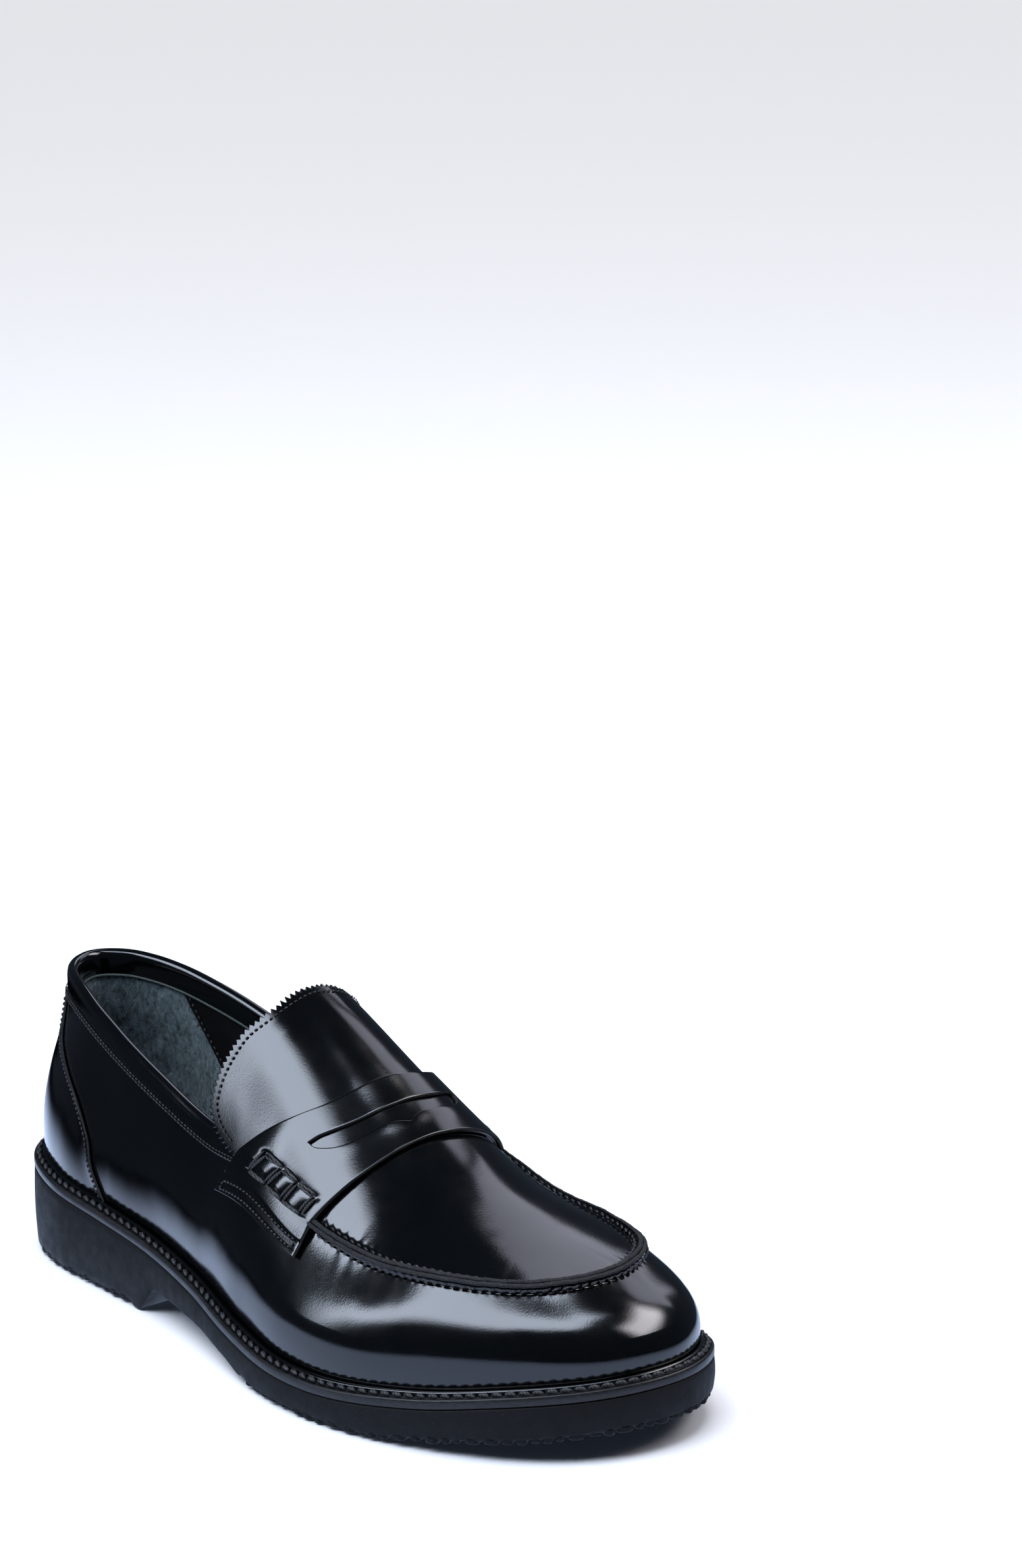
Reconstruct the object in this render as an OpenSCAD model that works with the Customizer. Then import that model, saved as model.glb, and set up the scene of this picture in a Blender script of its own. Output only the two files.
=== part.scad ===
// Penny loafer, right shoe: welted, with a moc-toe apron, a saddle strap and a pinked tongue.
// The toe points along +X, the wearer's left (the medial side) is +Y, and the ground is Z = 0.
// The upper is a ring of 24 columns round the last: 0 at the back of the heel, 6 at the lateral
// waist, 12 at the tip of the toe and 18 at the medial waist. Each column is a Bezier from the
// feather line, where the upper meets the welt, to the topline or the apron seam.

/* [Upper] */
// Thickness of the outer leather
leather_t = 1.4; // [1:0.1:1.6]
// Thickness of the stiffeners and the backing between leather and lining
backing_t = 0.7; // [0.4:0.1:0.9]
// Thickness of the lining leather
lining_t = 0.8; // [0.6:0.1:1]
// Height of the turned-up lips of the apron seam
seam_h = 1.8; // [1:0.1:2.5]

/* [Sole] */
// How far the sole stands out past the upper
sole_margin = 5; // [4:0.5:6]
// Thickness of the welt
welt_t = 3.4; // [2.5:0.1:4]
// Depth of the tread grooves
tread_d = 1.8; // [1:0.1:2.5]
// Length of the heel block
heel_l = 88; // [80:1:92]
// Height of the foam pad under the heel
pad_h = 1.8; // [1:0.1:2.5]

/* [Strap and tongue] */
// Thickness of the saddle strap's leather
strap_t = 1.5; // [1:0.1:2]
// Half the length of the slot in the strap
slot_half = 27; // [20:1:30]

/* [Hidden] */

gap = 0.1;              // air between layers that lie on each other
thread_d = 0.8;         // fine sewing thread, as it stands on the leather
cord_d = 1.4;           // waxed thread of the welt, the seam and the strap's ladders
ring_step = 1 / 3;      // column step of the upper's grids
backing_out = leather_t + gap;
lining_out = backing_out + backing_t + gap;
lining_in = lining_out + lining_t;

// Feather line (x, y) and top line (x, y, z) of each column. On the apron seam z is the instep's.
columns = [
    [[4.5, 0], [13.5, 0, 98.5]], [[13, -19], [21, -14, 98]], [[35, -29], [39.5, -23, 96]],
    [[65, -32], [66, -28.5, 88]], [[95, -34.5], [94.5, -31.5, 79]], [[125, -40], [123, -33.5, 71]],
    [[154, -47.5], [151, -36.5]], [[184, -53.5], [180, -39.5]], [[214, -52.5], [209.5, -38.5]],
    [[243.5, -44], [236.5, -34]], [[268, -31], [257.5, -23.5]], [[284.5, -13.5], [267, -10]],
    [[291, 6.5], [270, 6]], [[288, 24], [266, 21]], [[275, 39], [255, 33]],
    [[250.5, 47], [234.5, 39]], [[220, 49], [207.5, 40]], [[190, 44], [179, 37.5]],
    [[160, 35], [149, 35]], [[125, 27], [120, 32.5, 71]], [[95, 26], [92.5, 30.5, 79.5]],
    [[65, 28], [65, 28, 87.5]], [[35, 29], [38.5, 23, 94]], [[13, 20], [21, 14, 97.5]]];
n_col = len(columns);

// Height of the welt's top, and of the sole's underside, along the shoe
welt_top = [[0, 34], [40, 30], [80, 26.5], [120, 21.5], [160, 15], [200, 13], [240, 16.5],
    [270, 21.5], [300, 25.5]];
tread = [[-10, 2], [12, 0], [heel_l, 0], [heel_l + 9, 10], [heel_l + 20, 9.5], [133, 7.5],
    [151, 4.5], [168, 0], [226, 0], [240, 2], [270, 5.5], [310, 11.5]];

// The instep: height of its crown and of its edges, half its width, how round it is, its middle
crown = [[100, 131], [122, 122], [145, 109.5], [165, 96], [185, 82], [208, 69], [235, 59.5],
    [268, 51], [300, 43]];
edge = [[100, 76], [122, 70.5], [145, 66.5], [165, 61.5], [185, 56.5], [208, 51.5], [235, 50.5],
    [268, 47], [300, 40]];
half_width = [[100, 36], [145, 36.5], [165, 38], [185, 39.5], [208, 39.5], [235, 37.5], [268, 36],
    [300, 36]];
roundness = [[100, 0.6], [145, 0.6], [165, 0.62], [185, 0.7], [208, 0.9], [235, 1], [300, 1]];
middle = [[85, -1], [150, -1], [200, 1], [268, 4], [300, 6]];

// Bulge of the wall by column from the heel: outwards and upwards low down, then the length and
// the slope of its upper end
bulge_out = [[0, 4], [2, 3], [5, 3], [7, 3.5], [9, 4], [12, 4.5]];
bulge_up = [[0, 0.42], [3, 0.42], [5, 0.45], [7, 0.5], [9, 0.55], [12, 0.6]];
top_reach = [[0, 22], [3, 20], [5, 16], [7, 14], [9, 12], [12, 13]];
top_slope = [[0, 96], [3, 90], [5, 82], [6, 74], [7, 66], [8, 56], [9, 48], [12, 40]];

// The strap: where its edges cross the columns, how far down the wall they reach, and its middle
strap_col = [[5.4, 5.76], [7.06, 7.14]];
strap_low = [0.64, 0.69];
strap_mid = [171.3, 193.3];
strap_power = [4, 3];
side_share = 0.2;       // share of the strap's length that lies on each wall
slot_y = -3;

// The tongue's free edge and its root, from the instep's middle, by share of its half width
tongue_x = [[0, 136], [0.14, 135.8], [0.25, 133.7], [0.36, 129.8], [0.46, 127.5], [0.57, 125.4],
    [0.65, 125], [0.7, 125.6], [0.79, 129.4], [0.9, 136.3], [1, 143.3]];
tongue_y = [[0, 0], [0.14, 10], [0.25, 16.7], [0.36, 22], [0.46, 25.7], [0.57, 29.3],
    [0.65, 31.4], [0.7, 32.7], [0.79, 34], [0.9, 35], [1, 35.5]];
root_y = [[0, 0], [0.285, 15], [0.555, 26.3], [0.78, 32.2], [1, 35.5]];
root_back = 27;         // how far the root runs back from its middle to its corners
tongue_reach = 0.86;    // share of the half width that the stiff solid keeps

// ---- curves and surfaces ----
function slope(t, i) = let (a = t[max(i - 1, 0)], b = t[min(i + 1, len(t) - 1)])
    (b[1] - a[1]) / (b[0] - a[0]);
function span(t, x, i = 0) = (i >= len(t) - 2 || x < t[i + 1][0]) ? i : span(t, x, i + 1);
function hermite(a, b, ma, mb, h, u) = (2 * u ^ 3 - 3 * u ^ 2 + 1) * a
    + (u ^ 3 - 2 * u ^ 2 + u) * h * ma + (3 * u ^ 2 - 2 * u ^ 3) * b + (u ^ 3 - u ^ 2) * h * mb;
function smooth(t, x) = let (i = span(t, x), a = t[i], b = t[i + 1], h = b[0] - a[0], n = len(t) - 1)
    x < t[0][0] ? t[0][1] + slope(t, 0) * (x - t[0][0])
    : x > t[n][0] ? t[n][1] + slope(t, n) * (x - t[n][0])
    : hermite(a[1], b[1], slope(t, i), slope(t, i + 1), h, (x - a[0]) / h);
function unit(v) = v / norm(v);
function mix(a, b, t) = a * (1 - t) + b * t;
function ring_at(p, s) = let (n = len(p), k = floor(s), f = s - k, a = p[(k - 1 + 2 * n) % n],
        b = p[(k + 2 * n) % n], c = p[(k + 1 + 2 * n) % n], d = p[(k + 2 + 2 * n) % n])
    0.5 * (2 * b + (c - a) * f + (2 * a - 5 * b + 4 * c - d) * f ^ 2
        + (3 * b - a - 3 * c + d) * f ^ 3);

function instep_z(x, y) = let (t = (y - smooth(middle, x)) / smooth(half_width, x),
        p = smooth(roundness, x), c = smooth(crown, x), e = smooth(edge, x))
    c - (c - e) * (p * t ^ 2 + (1 - p) * t ^ 4);
function instep(x, y, off = 0) = let (h = 0.5,
        n = unit([instep_z(x - h, y) - instep_z(x + h, y), instep_z(x, y - h) - instep_z(x, y + h), 2 * h]))
    [x, y, instep_z(x, y)] + n * off;

function mirror_col(i) = min(i, n_col - i);
feather_xy = [for (c = columns) c[0]];
function out_of(i) = let (d = feather_xy[(i + 1) % n_col] - feather_xy[(i - 1 + n_col) % n_col])
    unit([d[1], -d[0]]);
feather_out = [for (i = [0:n_col - 1]) out_of(i)];
ring_low = [for (p = feather_xy) [p[0], p[1], smooth(welt_top, p[0]) + 2 * gap]];
ring_high = [for (c = columns) let (t = c[1]) len(t) == 3 ? t : [t[0], t[1], instep_z(t[0], t[1])]];
ring_bulge = [for (i = [0:n_col - 1]) let (j = mirror_col(i), o = lookup(j, bulge_out),
        h = ring_high[i][2] - ring_low[i][2])
    ring_low[i] + [feather_out[i][0] * o, feather_out[i][1] * o, h * lookup(j, bulge_up)]];
ring_reach = [for (i = [0:n_col - 1]) let (j = mirror_col(i), a = lookup(j, top_slope),
        m = lookup(j, top_reach))
    ring_high[i] + m * [feather_out[i][0] * cos(a), feather_out[i][1] * cos(a), -sin(a)]];

function wall_at(s, v) = ring_at(ring_low, s) * (1 - v) ^ 3
    + ring_at(ring_bulge, s) * 3 * v * (1 - v) ^ 2
    + ring_at(ring_reach, s) * 3 * v ^ 2 * (1 - v) + ring_at(ring_high, s) * v ^ 3;
function wall_out(s, v) = let (w = min(v, 0.97)) unit(cross(wall_at(s + 0.03, w) - wall_at(s - 0.03, w),
    wall_at(s, w + 0.02) - wall_at(s, w - 0.02)));
function wall(s, v, off = 0) = wall_at(s, v) + wall_out(s, v) * off;

// The plan outline, a distance outside the feather line, and the deck that it bounds
function outline(s, off) = let (p = ring_at(feather_xy, s), n = ring_at(feather_out, s))
    p + unit(n) * off;
function deck(s, t, inset, up) = let (p = mix(outline(s, -inset), outline(n_col - s, -inset), t))
    [p[0], p[1], smooth(welt_top, p[0]) + up];

// The sheet that the strap lies on: u runs from its lateral end to its medial end, w from its
// rear edge to its front edge
function strap_side(k, w, sign) = let (s = mix(mix(strap_col[0][0], strap_col[0][1], k),
        mix(strap_col[1][0], strap_col[1][1], k), w))
    [sign > 0 ? n_col - s : s, mix(mix(strap_low[0], strap_low[1], w), 1, k)];
function strap_over(a, w, off) = let (l = ring_at(ring_high, strap_side(1, w, -1)[0]),
        m = ring_at(ring_high, strap_side(1, w, 1)[0]), side = a < 0 ? l : m, t = sin(90 * abs(a)),
        y = mix(l[1], m[1], 0.5 + sign(a) * t / 2), mid = mix(strap_mid[0], strap_mid[1], w),
        x = mid - (mid - side[0]) * t ^ mix(strap_power[0], strap_power[1], w),
        lift = (side[2] - instep_z(side[0], side[1])) * t ^ 6)
    instep(x, y, off) + [0, 0, lift];
function strap(u, w, off) = let (k = min(u, 1 - u) / side_share)
    k >= 1 ? strap_over((u - 0.5) / (0.5 - side_share), w, off)
    : let (p = strap_side(k, w, u < 0.5 ? -1 : 1)) wall(p[0], p[1], off);

function tongue_at(a, r, off) = let (u = abs(a), y0 = smooth(root_y, u), y1 = smooth(tongue_y, u),
        x0 = strap_mid[0] - 0.9 - root_back * (y0 / root_y[4][1]) ^ strap_power[0],
        x = mix(x0, smooth(tongue_x, u), r))
    instep(x, smooth(middle, x) + (a < 0 ? -1 : 1) * mix(y0, y1, r), off);

function steps(a, b, n) = [for (i = [0:n]) a + (b - a) * i / n];
function all_round() = [for (i = [0:n_col / ring_step - 1]) i * ring_step];
// Columns from a to b, with the ring's own columns between them
function stations(a, b) = concat([a],
    [for (i = [ceil((a + 0.05) / ring_step):floor((b - 0.05) / ring_step)]) i * ring_step], [b]);

// ---- solids ----
// A sheet between two grids of points of the same size. With closed, the first row follows the
// last. The cells of open_col in the rows open_rows are left open.
module sheet(top, bottom, closed = false, open_col = -1, open_rows = [1, 0]) {
    n = len(top);
    m = len(top[0]);
    rows = closed ? n : n - 1;
    function has(i, j) = (closed || (i >= 0 && i < rows)) && j >= 0 && j < m - 1
        && !(i == open_col && j >= open_rows[0] && j <= open_rows[1]);
    function at(i, j) = ((i + n) % n) * m + j;
    function low(i, j) = at(i, j) + n * m;
    function side(p, q, r, s) = [[p, q, r], [p, r, s]];
    faces = [for (i = [0:rows - 1]) for (j = [0:m - 2]) if (has(i, j)) each concat(
        side(at(i, j), at(i, j + 1), at(i + 1, j + 1), at(i + 1, j)),
        side(low(i, j), low(i + 1, j), low(i + 1, j + 1), low(i, j + 1)),
        has(i, j - 1) ? [] : side(at(i, j), at(i + 1, j), low(i + 1, j), low(i, j)),
        has(i, j + 1) ? [] : side(at(i + 1, j + 1), at(i, j + 1), low(i, j + 1), low(i + 1, j + 1)),
        has(i - 1, j) ? [] : side(at(i, j + 1), at(i, j), low(i, j), low(i, j + 1)),
        has(i + 1, j) ? [] : side(at(i + 1, j), at(i + 1, j + 1), low(i + 1, j + 1), low(i + 1, j)))];
    points = concat([for (row = top) each row], [for (row = bottom) each row]);
    polyhedron(points, faces, convexity = 8);
}

// A patch of the wall between two columns and two heights, from one depth to another inwards
module wall_patch(cols, heights, d0, d1, closed = false) {
    sheet([for (s = cols) [for (v = heights) wall(s, v, -d0)]],
        [for (s = cols) [for (v = heights) wall(s, v, -d1)]], closed);
}

module deck_patch(cols, shares, inset, low, high) {
    sheet([for (s = cols) [for (t = shares) deck(s, t, inset, high(deck(s, t, inset, 0)[0]))]],
        [for (s = cols) [for (t = shares) deck(s, t, inset, low(deck(s, t, inset, 0)[0]))]]);
}

// One stitch from p to q, standing on a surface with the normal n
module stitch(p, q, n, d) {
    a = unit(q - p);
    b = unit(cross(n, a));
    c = cross(a, b);
    multmatrix([[a[0], b[0], c[0], p[0]], [a[1], b[1], c[1], p[1]], [a[2], b[2], c[2], p[2]],
            [0, 0, 0, 1]])
        translate([0, -d / 2, 0])
            cube([norm(q - p), d, d * 0.7]);
}

// A row of stitches: every point is [place, normal], and each stitch fills a share of its step
module stitch_row(row, d, fill = 0.7) {
    for (i = [0:len(row) - 2])
        stitch(row[i][0], mix(row[i][0], row[i + 1][0], fill), row[i][1], d);
}

function wall_row(s0, s1, v0, v1, n, up) = [for (t = steps(0, 1, n)) let (s = mix(s0, s1, t),
    v = mix(v0, v1, t)) [wall(s, v, up), wall_out(s, v)]];
function strap_row(u0, u1, w0, w1, n, up) = [for (t = steps(0, 1, n)) let (u = mix(u0, u1, t),
    w = mix(w0, w1, t), p = strap(u, w, up)) [p, unit(p - strap(u, w, up - 1))]];

// The shoe's outline is centred on the origin
rim = [for (s = all_round()) outline(s, sole_margin)];
rim_x = [for (p = rim) p[0]];
rim_y = [for (p = rim) p[1]];
centre = [(min(rim_x) + max(rim_x)) / 2, (min(rim_y) + max(rim_y)) / 2];
module placed() {
    translate([-centre[0], -centre[1], 0])
        children();
}

// ---- bottom ----
module outsole() {
    xs = steps(-10, 310, 32);
    profile = concat(tread, [for (i = [32:-1:0]) [xs[i], smooth(welt_top, xs[i]) - welt_t]]);
    groove_l = 15;
    groove_w = 3;
    color("#1b1c1e") placed() difference() {
        intersection() {
            linear_extrude(60) polygon(rim);
            rotate([90, 0, 0]) translate([0, 0, -100]) linear_extrude(200) polygon(profile);
        }
        for (s = [0.5:0.75:23.9])
            let (p = outline(s, 0), n = outline(s, 1) - p, z = lookup(p[0], tread))
            if (p[0] < heel_l - 6 || p[0] > 172)
                translate([p[0], p[1], z - 6]) rotate([0, 0, atan2(n[1], n[0])])
                    translate([-groove_l / 2, -groove_w / 2, 0])
                        cube([groove_l * 2, groove_w, 6 + tread_d]);
        for (x = [182:12:226])
            translate([x, -24, -1]) cube([groove_w, 48, 1 + tread_d]);
    }
}

welt_in = 4;
module rim_ring(inner, outer, low, high) {
    sheet([for (s = all_round()) [for (o = [outer, inner]) let (p = outline(s, o))
            [p[0], p[1], smooth(welt_top, p[0]) + high]]],
        [for (s = all_round()) [for (o = [outer, inner]) let (p = outline(s, o))
            [p[0], p[1], smooth(welt_top, p[0]) + low]]], closed = true);
}
module welt() {
    color("#232427") placed() rim_ring(-welt_in, sole_margin, gap - welt_t, 0);
}
module welt_bead() {
    color("#0c0d0f") placed() rim_ring(0.6, 2.2, 0.05, 1.8);
}
module welt_stitching() {
    n = 112;
    row = [for (i = [0:n]) let (s = i * n_col / n, p = outline(s, 3.6))
        [[p[0], p[1], smooth(welt_top, p[0]) + 0.25], [0, 0, 1]]];
    color("#3a3c40") placed() stitch_row(row, cord_d, 0.72);
}

shank_cols = [2.8, 6.4];
shank_share = [0.41, 0.59];
shank_t = 1.3;
fit_gap = 0.3;          // room round the fillers inside the bottom
module cork_filler() {
    cols = concat([0.4, 1, 1.7, 2.3, 2.7], steps(2.8, 6.4, 8), steps(6.5, 11.5, 11));
    shares = [0, 0.2, 0.4, 0.41, 0.59, 0.6, 0.8, 1];
    function in_channel(s, t) = s >= shank_cols[0] && s <= shank_cols[1]
        && t >= shank_share[0] && t <= shank_share[1];
    color("#b08a5b") placed() sheet(
        [for (s = cols) [for (t = shares) deck(s, t, welt_in + 3 * fit_gap,
            -fit_gap * (in_channel(s, t) ? 2 : 1) - (in_channel(s, t) ? shank_t : 0))]],
        [for (s = cols) [for (t = shares) deck(s, t, welt_in + 3 * fit_gap, fit_gap - welt_t)]]);
}
module shank() {
    function bar(up) = [for (s = steps(shank_cols[0] + 0.05, shank_cols[1] - 0.05, 8))
        [for (t = steps(0.425, 0.575, 2)) deck(s, t, welt_in + 3 * fit_gap, up)]];
    color("#9aa0a6") placed() sheet(bar(-fit_gap), bar(-fit_gap - shank_t));
}

deck_cols = concat([0.3, 0.7, 1.2], steps(1.6, 10.4, 22), [10.8, 11.4, 11.7]);
deck_shares = steps(0, 1, 6);
board_t = 2.2;
function pad_up(x) = pad_h * (x < 68 ? 1 : x > 96 ? 0 : (1 + cos(180 * (x - 68) / 28)) / 2);
module insole_board() {
    color("#8d6f4b") placed() deck_patch(deck_cols, deck_shares, lining_in + 0.8,
        function (x) 2 * gap, function (x) board_t);
}
module heel_pad() {
    color("#d8c9a8") placed() deck_patch(concat([0.5, 0.9], steps(1.2, 3.6, 6)), deck_shares,
        lining_in + 2.5, function (x) board_t + gap, function (x) board_t + gap + max(pad_up(x) - fit_gap, 0.15));
}
sock_t = 1.1;
function sock_low(x) = board_t + 2 * gap + max(pad_up(x), 0.15);
module sock_liner() {
    color("#141517") placed() deck_patch(deck_cols, deck_shares, lining_in + 1,
        function (x) sock_low(x), function (x) sock_low(x) + sock_t);
}
module sock_stitching() {
    cols = [for (s = [1:0.2:6]) s];
    color("#e6e6e2") placed() for (side = [-1, 1]) {
        row = [for (s = cols) let (p = outline(side < 0 ? s : n_col - s, -lining_in - 3.5))
            [[p[0], p[1], smooth(welt_top, p[0]) + sock_low(p[0]) + sock_t + 0.4], [0, 0, 1]]];
        stitch_row(row, thread_d, 0.65);
    }
}

// ---- upper ----
wall_heights = [0, 0.14, 0.3, 0.48, 0.66, 0.84, 0.95];
seam_start = 7.6;
lip_t = 1.4;            // width of each of the seam's two lips
function seam_col(s) = s >= seam_start && s <= n_col - seam_start;
module vamp() {
    // in front of the strap the top row is the seam's turned-up outer lip
    function row(s, d) = concat([for (v = wall_heights) wall(s, v, -d)],
        [seam_col(s) ? let (n = ring_at(feather_out, s), o = 0.05 + lip_t * (1 - d / leather_t))
            ring_at(ring_high, s) + [n[0] * o, n[1] * o, seam_h] : wall(s, 1, -d)]);
    color("#101114") placed() sheet([for (s = all_round()) row(s, 0)],
        [for (s = all_round()) row(s, leather_t)], closed = true);
}
// Rows of the apron from the strap to the toe, and its columns: the first and last two carry the
// seam's inner lip, and so do the last two rows
apron_rows = concat([6.55, 6.75], [for (s = [7:0.5:10.5]) s], [10.85, 11.2, 11.25, 11.5]);
apron_shares = [0, 0, 0, 0.1, 0.22, 0.36, 0.5, 0.64, 0.78, 0.9, 1, 1, 1];
apron_insets = [0, 1.4, 1.8];
function apron_at(i, j, d) = let (s = apron_rows[i], l = ring_at(ring_high, s),
        m = ring_at(ring_high, n_col - s), w = norm(m - l), e = seam_col(s) ? 0.4 : 1.8,
        k = min(j, len(apron_shares) - 1 - j), t = apron_shares[j],
        a = k > 2 ? mix(e + 2, w - e - 2, t) : t < 0.5 ? e + apron_insets[k] : w - e - apron_insets[k],
        p = mix(l, m, a / w), c = 1 - (2 * a / w - 1) ^ 4,
        x = p[0] + c * (s < 7 ? (7 - s) * 17 : s > 11 ? (s - 11) * 1.2 : 0),
        lip = seam_col(s) && d < leather_t && (k < 2 || i > len(apron_rows) - 3))
    instep(x, p[1], -d) + [0, 0, lip ? seam_h : 0];
module apron_sheet(rows, cols, d0, d1) {
    sheet([for (i = rows) [for (j = cols) apron_at(i, j, d0)]],
        [for (i = rows) [for (j = cols) apron_at(i, j, d1)]]);
}
module apron() {
    color("#101114") placed() apron_sheet([0:len(apron_rows) - 1], [0:len(apron_shares) - 1],
        0.2, 0.2 + leather_t);
}
module seam_stitching_outer() {
    row = [for (s = steps(seam_start + 0.1, n_col - seam_start - 0.1, 60))
        [wall(s, 0.88, 0.3), wall_out(s, 0.88)]];
    color("#26282c") placed() stitch_row(row, cord_d, 0.6);
}
module seam_stitching_inner() {
    seam_middle = [205, 0];
    function rim_point(s) = let (p = ring_at(ring_high, s),
        d = unit(seam_middle - [p[0], p[1]]) * 4) instep(p[0] + d[0], p[1] + d[1], 0.5);
    row = [for (s = steps(seam_start + 0.1, n_col - seam_start - 0.1, 58)) [rim_point(s), [0, 0, 1]]];
    color("#26282c") placed() stitch_row(row, cord_d, 0.6);
}
layer_heights = [0.015, 0.14, 0.3, 0.48, 0.66, 0.84, 0.95];
function heights_to(n) = [for (i = [0:n]) layer_heights[i]];
module stiffener(from, to, n) {
    wall_patch(stations(from, to), heights_to(n), backing_out, lining_out - gap);
}
module toe_puff() {
    color("#c9b48c") placed() stiffener(8, 16, 5);
}
module heel_counter() {
    color("#b9a27a") placed() stiffener(-3.3, 3.3, 4);
}
module quarter_backing_lateral() {
    color("#ddd8cc") placed() stiffener(11 * ring_step, 23 * ring_step, 5);
}
module quarter_backing_medial() {
    color("#ddd8cc") placed() stiffener(49 * ring_step, 61 * ring_step, 5);
}
module lining(from, to, n) {
    wall_patch(stations(from, to), heights_to(n), lining_out, lining_in);
}
module vamp_lining() {
    color("#1a1b1e") placed() lining(5.7, 18.3, 5);
}
module apron_lining() {
    color("#1a1b1e") placed() apron_sheet([2:9], [3:9], 0.3 + leather_t, 0.3 + leather_t + lining_t);
}
module quarter_lining_lateral() {
    color("#1a1b1e") placed() lining(3.05, 5.65, 6);
}
module quarter_lining_medial() {
    color("#1a1b1e") placed() lining(18.35, 20.95, 6);
}
module heel_grip() {
    color("#3d4644") placed() lining(-3, 3, 6);
}
collar_cols = stations(-5.15, 5.15);
module collar_band() {
    color("#0e0f12") placed() wall_patch(collar_cols, [0.86, 0.95, 0.985], -0.9, -0.2);
}
module topline_binding() {
    up = [0, 0, 0.45];
    color("#0a0b0d") placed() sheet(
        [for (s = collar_cols) [wall(s, 1, 0.8) + up * 4.6, wall(s, 1, -lining_in) + up * 4.6]],
        [for (s = collar_cols) [wall(s, 1, 0.8) + up, wall(s, 1, -lining_in) + up]]);
}
module collar_stitching() {
    color("#2b2d31") placed() for (v = [0.885, 0.915])
        stitch_row(wall_row(-5.1, 5.1, v, v, 70, 1.2), thread_d, 0.65);
}

// The foxing covers the lower heel, and its front edge is an S from the collar to the welt
foxing_edge = [[0, 2.95], [0.15, 2.72], [0.3, 2.62], [0.45, 2.3], [0.55, 1.85], [0.65, 1.4],
    [0.78, 1.15], [0.86, 1.1]];
foxing_heights = [0.03, 0.14, 0.22, 0.3, 0.39, 0.48, 0.57, 0.66, 0.75, 0.84];
module foxing(side) {
    function point(k, v, off) = wall(side * mix(0.01, smooth(foxing_edge, v), k), v, off);
    shares = side > 0 ? steps(0, 1, 9) : steps(1, 0, 9);
    color("#0e0f12") placed() sheet(
        [for (k = shares) [for (v = foxing_heights) point(k, v, 1.4)]],
        [for (k = shares) [for (v = foxing_heights) point(k, v, 0.5)]]);
}
module heel_foxing_lateral() {
    foxing(1);
}
module heel_foxing_medial() {
    foxing(-1);
}
module foxing_stitching() {
    color("#2b2d31") placed() for (side = [-1, 1]) {
        row = [for (v = steps(0.05, 0.82, 22)) let (s = side * (smooth(foxing_edge, v) - 0.12))
            [wall(s, v, 1.7), wall_out(s, v)]];
        stitch_row(row, thread_d, 0.65);
    }
}
module back_tab() {
    color("#2a2b2e") placed() wall_patch(steps(-0.22, 0.22, 4), [0.42, 0.5, 0.58], -3.2, -1.5);
}

// ---- strap ----
strap_us = [for (i = [0:36]) i / 36];
function slot_share(u) = let (a = (u - 0.5) / (0.5 - side_share))
    abs(a) >= 1 ? 2 : abs(strap_over(a, 0.4, 0)[1] - slot_y) / slot_half;
lip_rear = [[0, 0.4], [0.5, 0.38], [0.9, 0.35], [1, 0.37], [1.3, 0.36]];
lip_front = [[0, 0.7], [0.15, 0.64], [0.5, 0.59], [0.85, 0.6], [1, 0.42], [1.3, 0.45]];
function strap_ws(u) = let (q = min(slot_share(u), 1.3), a = lookup(q, lip_rear), b = lookup(q, lip_front))
    [0, a / 2, a, b, (b + 1) / 2, 1];
slot_cells = [for (i = [0:35]) if (slot_share(strap_us[i]) <= 1 && slot_share(strap_us[i + 1]) <= 1) i];
module strap_sheet(low, high, slotted) {
    top = [for (j = [0:5]) [for (u = strap_us) strap(u, strap_ws(u)[j], high)]];
    bottom = [for (j = [0:5]) [for (u = strap_us) strap(u, strap_ws(u)[j], low)]];
    if (slotted) sheet(top, bottom, open_col = 2, open_rows = [min(slot_cells), max(slot_cells)]);
    else sheet(top, bottom);
}
strap_rest = 0.55;      // how high the strap's lining lies over the vamp
strap_under = 0.6;      // thickness of the lining
module strap_lining() {
    color("#17181b") placed() strap_sheet(strap_rest, strap_rest + strap_under, false);
}
strap_top = strap_rest + strap_under + gap + strap_t;
module saddle_strap() {
    color("#101114") placed() strap_sheet(strap_top - strap_t, strap_top, true);
}
// A ladder: two rails along the strap's end and four rungs between them
module ladder(side) {
    us = side < 0 ? [0.165, 0.26] : [0.835, 0.74];
    ws = [0.25, 0.46, 0.66, 0.87];
    up = strap_top + 0.25;
    color("#2f3135") placed() {
        for (u = us) stitch_row(strap_row(u, u, ws[0], ws[3], 3, up), cord_d, 0.8);
        for (w = ws) stitch_row(strap_row(us[0], us[1], w - 0.03, w - 0.03, 1, up), cord_d, 0.75);
    }
}
module strap_ladder_lateral() {
    ladder(-1);
}
module strap_ladder_medial() {
    ladder(1);
}
module strap_hem_stitching() {
    up = strap_top + 0.25;
    color("#2b2d31") placed() for (u = [0.025, 0.065, 0.935, 0.975])
        stitch_row(strap_row(u, u, 0.06, 0.94, 10, up), thread_d, 0.6);
}

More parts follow.
